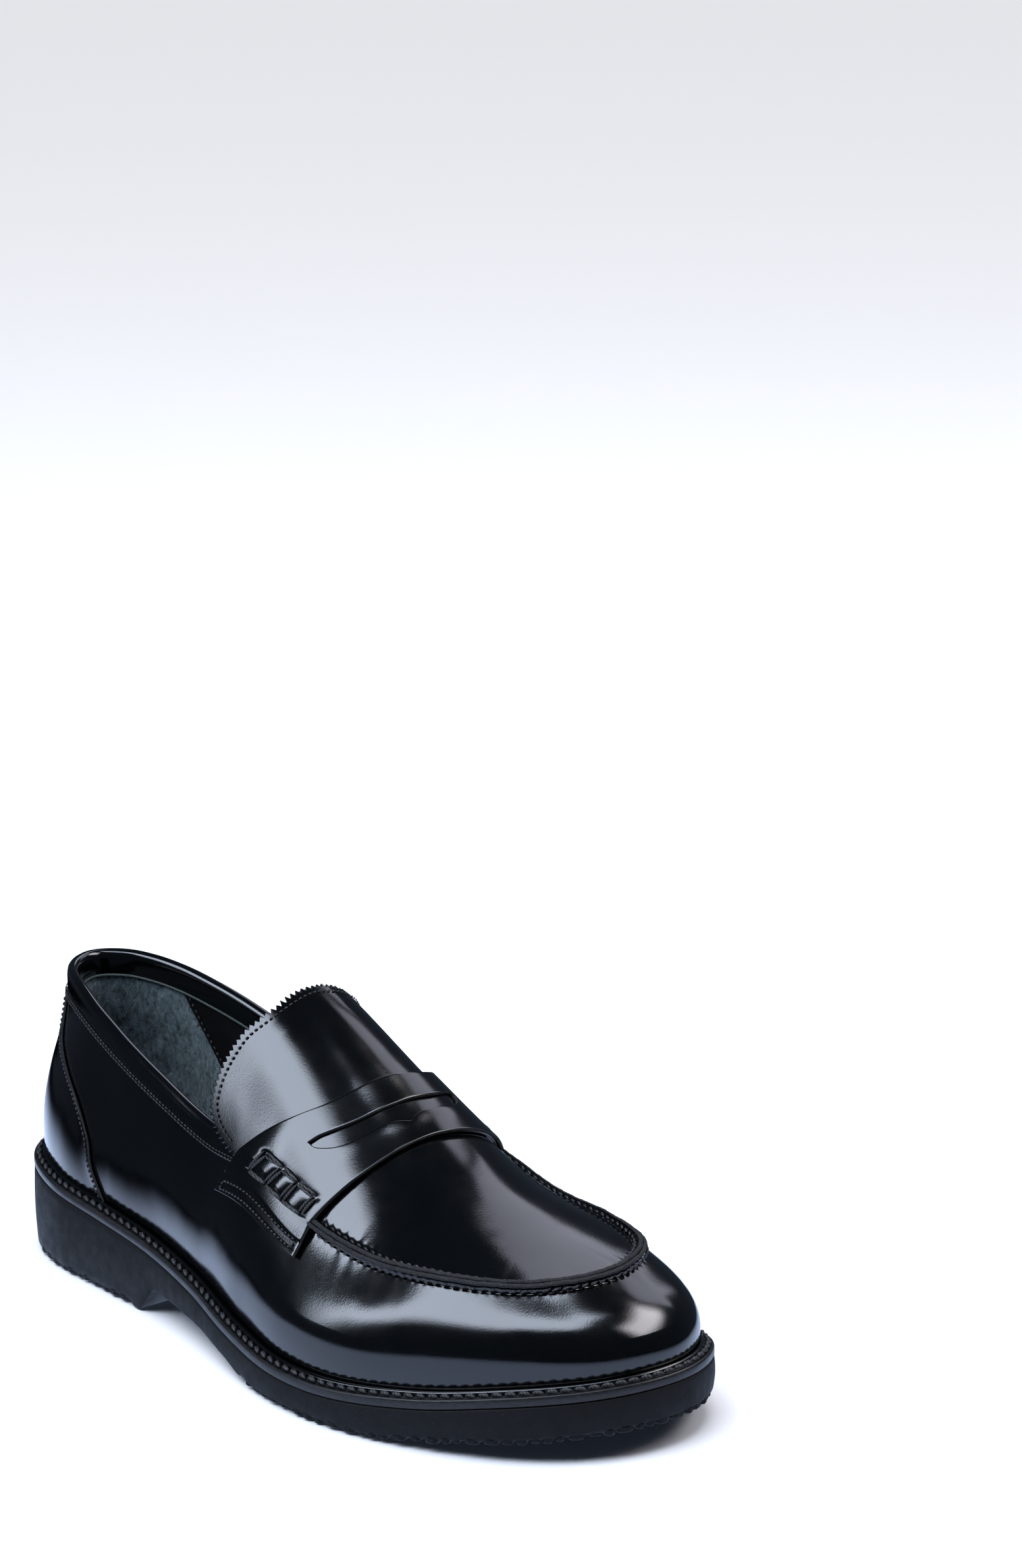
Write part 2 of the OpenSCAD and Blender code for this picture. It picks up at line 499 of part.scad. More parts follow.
// ---- tongue ----
tongue_us = steps(-tongue_reach, tongue_reach, 20);
module tongue_sheet(d0, d1, inset) {
    rs = steps(1 - inset, 0, 5);
    us = tongue_us * (1 - inset);
    sheet([for (r = rs) [for (u = us) tongue_at(u, r, -d0)]],
        [for (r = rs) [for (u = us) tongue_at(u, r, -d1)]]);
}
module tongue() {
    color("#101114") placed() tongue_sheet(0.2, 0.2 + leather_t, 0);
}
module tongue_lining() {
    color("#1d1e21") placed() tongue_sheet(0.5 + leather_t, 0.5 + leather_t + lining_t, 0.04);
}
module tongue_stitching() {
    row = [for (u = steps(-0.8, 0.8, 36)) let (p = tongue_at(u, 0.9, 0.1))
        [p, unit(p - tongue_at(u, 0.9, -1))]];
    color("#2b2d31") placed() stitch_row(row, thread_d, 0.65);
}

outsole();
welt();
welt_bead();
welt_stitching();
cork_filler();
shank();
insole_board();
heel_pad();
sock_liner();
sock_stitching();
vamp();
apron();
seam_stitching_outer();
seam_stitching_inner();
toe_puff();
heel_counter();
quarter_backing_lateral();
quarter_backing_medial();
vamp_lining();
apron_lining();
quarter_lining_lateral();
quarter_lining_medial();
heel_grip();
collar_band();
topline_binding();
collar_stitching();
heel_foxing_lateral();
heel_foxing_medial();
foxing_stitching();
back_tab();
strap_lining();
saddle_strap();
strap_ladder_lateral();
strap_ladder_medial();
strap_hem_stitching();
tongue();
tongue_lining();
tongue_stitching();
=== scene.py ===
"""Looks of a black penny loafer (right shoe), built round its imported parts.

The shoe's surfaces are the same closed curves as in the part: a ring of 24 columns round the last,
an instep, a strap and a tongue. They are written in millimetres, with the back of the heel near
x = 0, and place() puts them into the frame.
"""

import math

import bmesh
import bpy
import numpy as np
from mathutils import Matrix, Vector


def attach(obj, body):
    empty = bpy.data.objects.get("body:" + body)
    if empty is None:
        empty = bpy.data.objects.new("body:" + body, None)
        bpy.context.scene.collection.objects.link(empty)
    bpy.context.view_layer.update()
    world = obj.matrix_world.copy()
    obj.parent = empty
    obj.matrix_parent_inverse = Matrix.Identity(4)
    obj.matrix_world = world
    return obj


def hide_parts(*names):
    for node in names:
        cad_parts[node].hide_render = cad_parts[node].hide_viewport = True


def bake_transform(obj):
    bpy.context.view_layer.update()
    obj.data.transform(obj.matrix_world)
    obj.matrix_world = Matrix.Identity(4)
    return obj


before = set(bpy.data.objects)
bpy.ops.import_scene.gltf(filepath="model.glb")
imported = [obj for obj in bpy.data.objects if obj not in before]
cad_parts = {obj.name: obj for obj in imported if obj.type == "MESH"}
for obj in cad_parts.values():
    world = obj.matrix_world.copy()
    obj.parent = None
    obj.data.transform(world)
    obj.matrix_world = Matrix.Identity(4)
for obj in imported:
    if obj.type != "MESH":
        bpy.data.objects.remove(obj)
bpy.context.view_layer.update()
rng = np.random.default_rng(11)

# ---------------------------------------------------------------- sizes of the part, in mm
LEATHER, LINING_OUT, LINING_IN = 1.4, 2.3, 3.1
SOLE_MARGIN, WELT, HEEL_L = 5.0, 3.4, 88
# each column of the last: its foot in plan, and its top in plan or in space
COLUMNS = [
    [[4.5, 0], [13.5, 0, 98.5]], [[13, -19], [21, -14, 98]], [[35, -29], [39.5, -23, 96]],
    [[65, -32], [66, -28.5, 88]], [[95, -34.5], [94.5, -31.5, 79]], [[125, -40], [123, -33.5, 71]],
    [[154, -47.5], [151, -36.5]], [[184, -53.5], [180, -39.5]], [[214, -52.5], [209.5, -38.5]],
    [[243.5, -44], [236.5, -34]], [[268, -31], [257.5, -23.5]], [[284.5, -13.5], [267, -10]],
    [[291, 6.5], [270, 6]], [[288, 24], [266, 21]], [[275, 39], [255, 33]],
    [[250.5, 47], [234.5, 39]], [[220, 49], [207.5, 40]], [[190, 44], [179, 37.5]],
    [[160, 35], [149, 35]], [[125, 27], [120, 32.5, 71]], [[95, 26], [92.5, 30.5, 79.5]],
    [[65, 28], [65, 28, 87.5]], [[35, 29], [38.5, 23, 94]], [[13, 20], [21, 14, 97.5]]]
N_COL = len(COLUMNS)
# heights by x: the welt's top, the tread, and the instep's crown and sides
WELT_TOP = [[0, 34], [40, 30], [80, 26.5], [120, 21.5], [160, 15], [200, 13], [240, 16.5],
            [270, 21.5], [300, 25.5]]
TREAD_Z = [[-10, 2], [12, 0], [HEEL_L, 0], [HEEL_L + 9, 10], [HEEL_L + 20, 9.5], [133, 7.5],
           [151, 4.5], [168, 0], [226, 0], [240, 2], [270, 5.5], [310, 11.5]]
CROWN = [[100, 131], [122, 122], [145, 109.5], [165, 96], [185, 82], [208, 69], [235, 59.5],
         [268, 51], [300, 43]]
EDGE = [[100, 76], [122, 70.5], [145, 66.5], [165, 61.5], [185, 56.5], [208, 51.5], [235, 50.5],
        [268, 47], [300, 40]]
# the instep by x: its half width, how round it is across, and its middle
HALF_WIDTH = [[100, 36], [145, 36.5], [165, 38], [185, 39.5], [208, 39.5], [235, 37.5], [268, 36],
              [300, 36]]
ROUNDNESS = [[100, 0.6], [145, 0.6], [165, 0.62], [185, 0.7], [208, 0.9], [235, 1], [300, 1]]
MIDDLE = [[85, -1], [150, -1], [200, 1], [268, 4], [300, 6]]
# the wall by columns from the heel: its bulge, and the length and slope of its bend at the top
BULGE_OUT = [[0, 4], [2, 3], [5, 3], [7, 3.5], [9, 4], [12, 4.5]]
BULGE_UP = [[0, 0.42], [3, 0.42], [5, 0.45], [7, 0.5], [9, 0.55], [12, 0.6]]
TOP_REACH = [[0, 22], [3, 20], [5, 16], [7, 14], [9, 12], [12, 13]]
TOP_SLOPE = [[0, 96], [3, 90], [5, 82], [6, 74], [7, 66], [8, 56], [9, 50], [10, 44], [12, 33]]
# the strap, rear then front: its columns at the foot and at the top, its lower ends, its middle
STRAP_COL = [[5.4, 5.76], [7.06, 7.14]]
STRAP_LOW = [0.64, 0.69]
STRAP_MID = [171.3, 193.3]
STRAP_POWER = [4, 3]
SIDE_SHARE = 0.2
# the strap's slot: its middle and half length, and its rear and front edges by share of it
SLOT_Y, SLOT_HALF = -3, 27
LIP_REAR = [[0, 0.4], [0.5, 0.38], [0.9, 0.35], [1, 0.37]]
LIP_FRONT = [[0, 0.71], [0.06, 0.675], [0.2, 0.62], [0.5, 0.59], [0.75, 0.61], [1, 0.61]]
# the tongue's free edge from its corner to its middle, and how far its root curves back
FREE_EDGE = [[143.3, 36.5], [136.3, 36], [129.4, 35], [125.6, 33.7], [125, 32.4], [125.4, 30.3],
             [127.5, 26.7], [129.8, 23], [133.7, 17.5], [135.8, 10.5], [136, 0]]
ROOT_BACK = 27
# the column where the heel patch ends, by height
FOXING_EDGE = [[0, 2.95], [0.15, 2.72], [0.3, 2.62], [0.45, 2.3], [0.55, 1.85], [0.65, 1.4],
               [0.78, 1.15], [0.86, 1.1], [1, 1.08]]


# ---------------------------------------------------------------- curves and surfaces
def smooth(table, x):
    """The part's curve through a table: cubic between its points, straight beyond its ends."""
    xs, ys = np.array(table, float).T
    x = np.asarray(x, float)
    n = len(xs)
    hi, lo = np.minimum(np.arange(n) + 1, n - 1), np.maximum(np.arange(n) - 1, 0)
    m = (ys[hi] - ys[lo]) / (xs[hi] - xs[lo])
    i = np.clip(np.searchsorted(xs, x, side="right") - 1, 0, n - 2)
    h = xs[i + 1] - xs[i]
    u = (x - xs[i]) / h
    inside = ((2 * u**3 - 3 * u**2 + 1) * ys[i] + (u**3 - 2 * u**2 + u) * h * m[i]
              + (3 * u**2 - 2 * u**3) * ys[i + 1] + (u**3 - u**2) * h * m[i + 1])
    return np.where(x < xs[0], ys[0] + m[0] * (x - xs[0]),
                    np.where(x > xs[-1], ys[-1] + m[-1] * (x - xs[-1]), inside))


def straight(table, x):
    xs, ys = np.array(table, float).T
    return np.interp(x, xs, ys)


def unit(v):
    return v / np.maximum(np.linalg.norm(v, axis=-1, keepdims=True), 1e-12)


def mix(a, b, t):
    return a * (1 - t) + b * t


def step(x, a, b):
    """0 before a, 1 after b, smooth between them."""
    t = np.clip((x - a) / (b - a), 0, 1)
    return t * t * (3 - 2 * t)


def spread(*values):
    """The values as float arrays of one shape."""
    return np.broadcast_arrays(*(np.asarray(v, float) for v in values))


def length_along(points):
    """The length along a line of points, from its first one."""
    return np.concatenate([[0], np.cumsum(np.linalg.norm(np.diff(points, axis=0), axis=-1))])


def grid_lengths(grid):
    """The lengths along the rows and the columns of a grid of points, from its first ones."""
    down = np.cumsum(np.linalg.norm(np.diff(grid, axis=0), axis=-1), 0)
    across = np.cumsum(np.linalg.norm(np.diff(grid, axis=1), axis=-1), 1)
    return np.pad(down, ((1, 0), (0, 0))), np.pad(across, ((0, 0), (1, 0)))


def catmull_rom(a, b, c, d, f):
    """The curve between b and c, at the share f of the way."""
    return 0.5 * (2 * b + (c - a) * f + (2 * a - 5 * b + 4 * c - d) * f**2
                  + (3 * b - a - 3 * c + d) * f**3)


def ring_at(p, s):
    """A closed curve through the columns' points."""
    s = np.asarray(s, float)
    k = np.floor(s).astype(int)
    return catmull_rom(*(p[(k + j) % len(p)] for j in (-1, 0, 1, 2)), (s - k)[..., None])


def instep_z(x, y):
    t = (y - smooth(MIDDLE, x)) / smooth(HALF_WIDTH, x)
    p, c, e = smooth(ROUNDNESS, x), smooth(CROWN, x), smooth(EDGE, x)
    return c - (c - e) * (p * t**2 + (1 - p) * t**4)


def instep_out(x, y, h=0.5):
    return unit(np.stack([instep_z(x - h, y) - instep_z(x + h, y),
                          instep_z(x, y - h) - instep_z(x, y + h), np.full_like(x, 2 * h)], -1))


def instep(x, y, off=0.0):
    x, y, off = spread(x, y, off)
    return np.stack([x, y, instep_z(x, y)], -1) + instep_out(x, y) * off[..., None]


FEATHER = np.array([c[0] for c in COLUMNS], float)
along = np.roll(FEATHER, -1, 0) - np.roll(FEATHER, 1, 0)
FEATHER_OUT = unit(np.stack([along[:, 1], -along[:, 0]], -1))
RING_LOW = np.column_stack([FEATHER, smooth(WELT_TOP, FEATHER[:, 0]) + 0.1])
RING_HIGH = np.array([c[1] if len(c[1]) == 3 else [*c[1], float(instep_z(*np.array(c[1], float)))]
                      for c in COLUMNS], float)
mirrored = np.minimum(np.arange(N_COL), N_COL - np.arange(N_COL))
OUT3 = np.column_stack([FEATHER_OUT, np.zeros(N_COL)])
RING_BULGE = RING_LOW + OUT3 * straight(BULGE_OUT, mirrored)[:, None]
RING_BULGE[:, 2] += (RING_HIGH[:, 2] - RING_LOW[:, 2]) * straight(BULGE_UP, mirrored)
angle = np.radians(straight(TOP_SLOPE, mirrored))
RING_REACH = RING_HIGH + straight(TOP_REACH, mirrored)[:, None] * (
    OUT3 * np.cos(angle)[:, None] - np.array([0, 0, 1.0]) * np.sin(angle)[:, None])


def wall_at(s, v):
    s, v = spread(s, v)
    w = v[..., None]
    return (ring_at(RING_LOW, s) * (1 - w)**3 + ring_at(RING_BULGE, s) * 3 * w * (1 - w)**2
            + ring_at(RING_REACH, s) * 3 * w**2 * (1 - w) + ring_at(RING_HIGH, s) * w**3)


def wall_out(s, v):
    w = np.clip(v, 0.02, 0.97)
    return unit(np.cross(wall_at(s + 0.03, w) - wall_at(s - 0.03, w),
                         wall_at(s, w + 0.02) - wall_at(s, w - 0.02)))


def wall(s, v, off=0.0):
    s, v, off = spread(s, v, off)
    return wall_at(s, v) + wall_out(s, v) * off[..., None]


def outline(s, off):
    """The plan outline at a distance outside the feather line."""
    off = np.asarray(off, float)[..., None]
    return ring_at(FEATHER, s) + unit(ring_at(FEATHER_OUT, s)) * off


def on_welt(s, off, up):
    """A point at a distance outside the feather line and a height above the welt's top."""
    p = outline(s, off)
    return np.stack([p[..., 0], p[..., 1], smooth(WELT_TOP, p[..., 0]) + up], -1)


def deck(s, t, inset, up):
    """A point on the deck inside the upper: t runs from its lateral to its medial side."""
    p = mix(outline(s, -inset), outline(N_COL - s, -inset), np.asarray(t)[..., None])
    return np.stack([p[..., 0], p[..., 1], smooth(WELT_TOP, p[..., 0]) + up], -1)


def strap_side(k, w, sign):
    """Column and height of the strap's lateral end (sign -1) or medial end (sign 1) on the wall."""
    s = mix(mix(*STRAP_COL[0], k), mix(*STRAP_COL[1], k), w)
    return np.where(sign > 0, N_COL - s, s), mix(mix(*STRAP_LOW, w), 1, k)


def strap_over(a, w, off):
    """The part of the strap over the instep: a runs from -1 on the lateral side to 1."""
    lateral, medial = (ring_at(RING_HIGH, strap_side(np.ones_like(w), w, sign)[0]) for sign in (-1, 1))
    side = np.where((a < 0)[..., None], lateral, medial)
    t = np.sin(np.pi / 2 * np.abs(a))
    y = mix(lateral[..., 1], medial[..., 1], 0.5 + np.sign(a) * t / 2)
    middle = mix(*STRAP_MID, w)
    x = middle - (middle - side[..., 0]) * t ** mix(*STRAP_POWER, w)
    lift = (side[..., 2] - instep_z(side[..., 0], side[..., 1])) * t**6
    p = instep(x, y, off)
    p[..., 2] += lift
    return p


def strap(u, w, off=0.0):
    """The strap's sheet: u runs from its lateral end to its medial one, w from rear to front."""
    u, w, off = spread(u, w, off)
    k = np.minimum(u, 1 - u) / SIDE_SHARE
    over = strap_over(np.clip((u - 0.5) / (0.5 - SIDE_SHARE), -1, 1), w, off)
    s, v = strap_side(np.minimum(k, 1), w, np.where(u < 0.5, -1, 1))
    side = wall(s, v, off)
    # round the corner between the wall and the instep
    t = step(k, 0.9, 1.1)[..., None]
    return mix(side, over, t)


rim = outline(np.arange(0, N_COL, 1 / 3), np.full(3 * N_COL, SOLE_MARGIN))
CENTRE = np.array([*((rim.min(0) + rim.max(0)) / 2), 0.0])


def place(p):
    """From millimetres of the shoe to metres of the frame."""
    return (np.asarray(p, float) - CENTRE) / 1000


# ---------------------------------------------------------------- noise
def waves(p, size, seed, count=12):
    """Smooth noise of about -1 to 1 over points in mm: a sum of plane waves near one wavelength."""
    r = np.random.default_rng(seed)
    k = unit(r.normal(size=(count, p.shape[-1]))) * (2 * np.pi / size) * r.uniform(0.6, 1.5, (count, 1))
    return np.sin(p @ k.T + r.uniform(0, 2 * np.pi, count)).sum(-1) / math.sqrt(count / 2) * 0.6


# ---------------------------------------------------------------- meshes
def piece(name, points, faces, material, body="shoe", replaces=(), slot=None, flat=False):
    """A mesh from points in mm, riding on a body."""
    data = bpy.data.meshes.new(name)
    data.from_pydata(place(points).tolist(), [], [list(map(int, f)) for f in faces])
    data.polygons.foreach_set("use_smooth", [not flat] * len(data.polygons))
    data.update()
    obj = bpy.data.objects.new(name, data)
    bpy.context.scene.collection.objects.link(obj)
    data.materials.append(material)
    if body:
        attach(obj, body)
    if replaces:
        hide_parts(*replaces)
    return obj


def grid_faces(rows, cols, wrap_rows=False, wrap_cols=False, start=0, skip=None):
    i, j = np.meshgrid(np.arange(rows - (not wrap_rows)), np.arange(cols - (not wrap_cols)),
                       indexing="ij")
    if skip is not None:
        keep = ~skip[i, j]
        i, j = i[keep], j[keep]
    i, j = i.ravel(), j.ravel()
    i2, j2 = (i + 1) % rows, (j + 1) % cols
    return start + np.stack([i * cols + j, i2 * cols + j, i2 * cols + j2, i * cols + j2], -1)


def tube_faces(rows, cols, closed=False, start=0):
    """The faces of a tube through loops of points. One that isn't closed on itself gets flat ends."""
    faces = grid_faces(rows, cols, wrap_rows=closed, wrap_cols=True, start=start).tolist()
    if not closed:
        last = start + (rows - 1) * cols
        faces += [list(range(start, start + cols)), list(range(last, last + cols))[::-1]]
    return faces


def outward(obj, weld_mm=0.0):
    """Turns the faces outwards. Points closer than weld_mm become one."""
    bm = bmesh.new()
    bm.from_mesh(obj.data)
    if weld_mm:
        bmesh.ops.remove_doubles(bm, verts=bm.verts, dist=weld_mm / 1000)
    bmesh.ops.recalc_face_normals(bm, faces=bm.faces)
    bm.to_mesh(obj.data)
    bm.free()


def solid(name, points, faces, material, **kw):
    obj = piece(name, points, faces, material, **kw)
    outward(obj)
    return obj


def loft(name, loops, material, closed=True, **kw):
    """A solid through closed loops of points: loops[row, point]."""
    return solid(name, loops.reshape(-1, 3), tube_faces(*loops.shape[:2], closed), material, **kw)


EDGE_STEPS = np.array([0, 0.12, 0.4, 1.0])
RAW_BELOW = 0.985


def rounding(distance, radius):
    """Share of a sheet's thickness at a distance from its cut edge: a square edge, a bit round."""
    t = np.clip(1 - distance / radius, 0, 1)
    return (1 - t**3) ** (1 / 3)


def edged(length, radius, count):
    """Shares from 0 to 1 along a length, close together by both ends."""
    ends = EDGE_STEPS * radius / length
    middle = np.linspace(ends[-1], 1 - ends[-1], max(count, 2))
    return np.concatenate([ends[:-1], middle, 1 - ends[:-1][::-1]])


def sheet(name, top, bottom, thin, material, wrap=False, skip=None, cut=None, **kw):
    """A closed sheet between two grids. Where thin is true, the two grids meet in one point.

    Faces where cut is true show the raw edge of the leather."""
    rows, cols = top.shape[:2]
    low = np.arange(rows * cols).reshape(rows, cols) + rows * cols
    low[thin] = np.arange(rows * cols).reshape(rows, cols)[thin]
    points = np.concatenate([top.reshape(-1, 3), bottom.reshape(-1, 3)])
    faces = grid_faces(rows, cols, wrap_rows=wrap, skip=skip)
    faces = np.concatenate([faces, low.ravel()[faces][:, ::-1]])
    used = np.unique(faces)
    index = np.zeros(len(points), int)
    index[used] = np.arange(len(used))
    obj = piece(name, points[used], index[faces].tolist(), material, **kw)
    if cut is not None:
        obj.data.materials.append(RAW)
        raw = np.tile(cut.ravel(), 2)[np.where(faces < rows * cols, faces, faces - rows * cols)]
        obj.data.polygons.foreach_set("material_index", (raw.sum(1) >= 3).astype(np.int32))
    outward(obj)
    return obj


def plate(name, surface, us, ws, low, high, material, radius=0.35, shape=None, raw=False, **kw):
    """A sheet of leather on surface(u, w, off), from off = low to high, with rounded cut edges.

    us and ws are shares made by edged(). shape(u, w) is added to the height of both faces. With
    raw, the cut edges show raw leather."""
    u, w = np.meshgrid(us, ws, indexing="ij")
    ref = surface(u, w, np.full_like(u, high))
    from_u, from_w = grid_lengths(ref)
    gap_u, gap_w = np.minimum(from_u, from_u[-1:] - from_u), np.minimum(from_w, from_w[:, -1:] - from_w)
    full = rounding(gap_w, radius) * rounding(gap_u, radius)
    middle, half = (low + high) / 2, (high - low) / 2
    extra = 0 if shape is None else shape(u, w)
    top = surface(u, w, middle + half * full + extra)
    bottom = surface(u, w, middle - half * full + extra)
    return sheet(name, top, bottom, full < 1e-6, material, cut=full < RAW_BELOW if raw else None, **kw)


def capsule(rings=7, sides=8, taper=0.75, arch=0.35):
    """One stitch of length 1 along x and width 1: a short arched bar with round ends."""
    t = np.linspace(0, 1, rings)
    r = 0.5 * np.sqrt(np.clip(1 - np.abs(2 * t - 1) ** (2 / taper), 0, 1))
    r = np.maximum(r, 0.03)
    a = np.arange(sides) * 2 * np.pi / sides
    x = np.repeat(t[:, None], sides, 1) - 0.5
    y = r[:, None] * np.cos(a)
    z = r[:, None] * np.sin(a) + arch * (1 - (2 * t[:, None] - 1) ** 2)
    return np.stack([x, y, z], -1).reshape(-1, 3), tube_faces(rings, sides)


def ripples(length, width, *terms):
    """A shape for plate(), of waves in mm: each term is their height, size and seed."""
    def shape(u, w):
        p = np.stack([u * length, w * width], -1)
        return sum(height * waves(p, size, seed) for height, size, seed in terms)
    return shape


def stitches(name, starts, ends, normals, width, material, tilt=0.0, sink=0.15, jitter=0.05, **kw):
    """A row of stitches from starts to ends, lying on a surface with those normals."""
    shape, shape_faces = capsule()
    x = unit(ends - starts)
    y = unit(np.cross(normals, x))
    z = np.cross(x, y)
    turn = tilt + jitter * rng.normal(size=len(starts))
    x, y = (x * np.cos(turn)[:, None] + y * np.sin(turn)[:, None],
            y * np.cos(turn)[:, None] - x * np.sin(turn)[:, None])
    length = np.linalg.norm(ends - starts, axis=-1)
    wide = width * (1 + jitter * rng.normal(size=len(starts)))
    middle = (starts + ends) / 2 + z * width * (0.5 - sink)
    points = (middle[:, None] + x[:, None] * shape[None, :, :1] * length[:, None, None]
              + y[:, None] * shape[None, :, 1:2] * wide[:, None, None]
              + z[:, None] * shape[None, :, 2:3] * wide[:, None, None])
    faces = [[v + k * len(shape) for v in f] for k in range(len(starts)) for f in shape_faces]
    return solid(name, points.reshape(-1, 3), faces, material, **kw)


def run(curve, t0, t1, pitch, fill=0.8, n=2000):
    """Starts and ends of stitches of a pitch in mm along curve(t), as values of t."""
    t = np.linspace(t0, t1, n)
    length = length_along(curve(t))
    count = max(int(round(length[-1] / pitch)), 1)
    a = np.arange(count) / count * length[-1]
    b = a + length[-1] / count * fill
    return np.interp(a, length, t), np.interp(b, length, t)


def stitch_rows(name, rows, pitch, fill, width, material, normal_at=0.5, slot="thread_dark", **kw):
    """Rows of stitches. Each row is (curve, out, t0, t1): curve(t) gives its points and out(t) the
    normals of the surface there. normal_at is the share of a stitch where its normal is taken."""
    starts, ends, normals = [], [], []
    for curve, out, t0, t1 in rows:
        a, b = run(curve, t0, t1, pitch, fill)
        starts.append(curve(a))
        ends.append(curve(b))
        normals.append(out(mix(a, b, normal_at)))
    joined = (np.concatenate(part) for part in (starts, ends, normals))
    return stitches(name, *joined, width, material, slot=slot, **kw)


def upwards(t):
    return np.tile([0, 0, 1.0], (len(t), 1))


# ---------------------------------------------------------------- materials
class Nodes:
    """Short calls for building a material's nodes."""

    def __init__(self, name):
        self.m = bpy.data.materials.new(name)
        self.m.use_nodes = True
        self.tree = self.m.node_tree
        self.shader = self.tree.nodes["Principled BSDF"]
        self.where = self.new("ShaderNodeTexCoord").outputs["Object"]

    def new(self, kind, inputs=None, **props):
        n = self.tree.nodes.new(kind)
        for k, v in props.items():
            setattr(n, k, v)
        for k, v in (inputs or {}).items():
            self.put(n.inputs[k], v)
        return n

    def put(self, socket, value):
        if isinstance(value, bpy.types.NodeSocket):
            self.tree.links.new(value, socket)
        else:
            socket.default_value = value

    def set(self, **values):
        for k, v in values.items():
            self.put(self.shader.inputs[k.replace("_", " ")], v)

    def noise(self, size_mm, detail=3.0, rough=0.55, where=None, distort=0.0):
        n = self.new("ShaderNodeTexNoise", {"Vector": where or self.where, "Scale": 1000 / size_mm,
                                            "Detail": detail, "Roughness": rough,
                                            "Distortion": distort})
        return n.outputs["Fac"]

    def stretch(self, scale, rotate=(0, 0, 0), where=None):
        return self.new("ShaderNodeMapping", {"Vector": where or self.where, "Scale": scale,
                                              "Rotation": rotate}).outputs["Vector"]

    def voronoi(self, size_mm, feature="F1", where=None):
        return self.new("ShaderNodeTexVoronoi", {"Vector": where or self.where,
                                                 "Scale": 1000 / size_mm},
                        feature=feature).outputs["Distance"]

    def ramp(self, fac, low, high, a=0.3, b=0.7):
        """fac from a to b becomes low to high."""
        n = self.new("ShaderNodeMapRange", {"Value": fac, "From Min": a, "From Max": b,
                                            "To Min": low, "To Max": high})
        return n.outputs["Result"]

    def blend(self, fac, low, high):
        n = self.new("ShaderNodeMix", data_type="RGBA")
        self.put(n.inputs[0], fac)
        self.put(n.inputs[6], (*low, 1))
        self.put(n.inputs[7], (*high, 1))
        return n.outputs[2]

    def times(self, a, b):
        return self.new("ShaderNodeMath", {0: a, 1: b}, operation="MULTIPLY").outputs[0]

    def add(self, a, b):
        return self.new("ShaderNodeMath", {0: a, 1: b}, operation="ADD").outputs[0]

    def bump(self, height, depth_mm, normal=None):
        n = self.new("ShaderNodeBump", {"Height": height, "Distance": depth_mm / 1000,
                                        "Strength": 1.0})
        if normal is not None:
            self.put(n.inputs["Normal"], normal)
        return n.outputs["Normal"]


def polished(name, base=(0.0005, 0.0007, 0.0009), rough=(0.12, 0.2), coat_rough=0.07, grain=0.006):
    """Brushed leather with a hard shine: a clear coat over a finely grained, nearly black body."""
    n = Nodes(name)
    waviness = n.bump(n.noise(26, 1.5), 0.015)
    pores = n.add(n.times(n.voronoi(0.9), 0.5), n.noise(0.7, 3))
    n.set(Base_Color=n.blend(n.noise(60, 2), base, tuple(1.5 * c for c in base)),
          Roughness=n.ramp(n.noise(9, 4), *rough),
          Coat_Weight=1.0, Coat_Roughness=n.ramp(n.noise(14, 3), coat_rough * 0.7, coat_rough * 1.6),
          Coat_IOR=1.6, Specular_IOR_Level=0.3,
          Normal=n.bump(pores, grain, waviness), Coat_Normal=n.bump(n.noise(0.6, 2), grain * 3, waviness))
    return n.m


def raw_edge(name, low=(0.005, 0.0053, 0.006), high=(0.052, 0.055, 0.061)):
    """A cut and inked edge of leather: matt, with short fibres along it."""
    n = Nodes(name)
    fibres = n.noise(0.5, 4, 0.7, distort=1.5)
    n.set(Base_Color=n.blend(n.ramp(fibres, 0, 1, 0.35, 0.7), low, high),
          Roughness=n.ramp(n.noise(2, 3), 0.42, 0.7), Specular_IOR_Level=0.3,
          Normal=n.bump(fibres, 0.45))
    return n.m


def lining(name):
    n = Nodes(name)
    grain = n.voronoi(1.1, "SMOOTH_F1")
    n.set(Base_Color=n.blend(n.noise(20, 3), (0.003, 0.0032, 0.0036), (0.006, 0.0064, 0.0068)),
          Roughness=n.ramp(n.noise(6, 3), 0.36, 0.5), Specular_IOR_Level=0.3,
          Normal=n.bump(grain, 0.04))
    return n.m


def suede(name):
    """Napped suede: short tangled fibres that lie in patches."""
    n = Nodes(name)
    warp = n.new("ShaderNodeTexNoise", {"Vector": n.where, "Scale": 240.0, "Detail": 2.0})
    bent = n.new("ShaderNodeVectorMath", {0: n.where, 1: n.new(
        "ShaderNodeVectorMath", {0: warp.outputs["Color"], "Scale": 0.004},
        operation="SCALE").outputs[0]}, operation="ADD").outputs[0]
    lie = n.stretch((1, 1, 0.34), (0.3, 0.9, 0.2), bent)
    fibres = n.noise(0.62, 4, 0.75, where=lie)
    patches = n.noise(3.6, 4, 0.62)
    clumps = n.noise(1.5, 3, 0.6, where=lie)
    tone = n.add(n.add(n.times(fibres, 0.4), n.times(clumps, 0.5)), n.times(patches, 0.25))
    n.set(Base_Color=n.blend(n.ramp(tone, 0, 1, 0.44, 0.72), (0.017, 0.027, 0.033),
                             (0.2, 0.266, 0.29)),
          Roughness=0.95, Specular_IOR_Level=0.15, Sheen_Weight=0.35, Sheen_Roughness=0.5,
          Sheen_Tint=(0.65, 0.75, 0.78, 1),
          Normal=n.bump(n.add(n.add(n.times(fibres, 0.7), n.times(clumps, 1.2)), patches), 0.6))
    return n.m


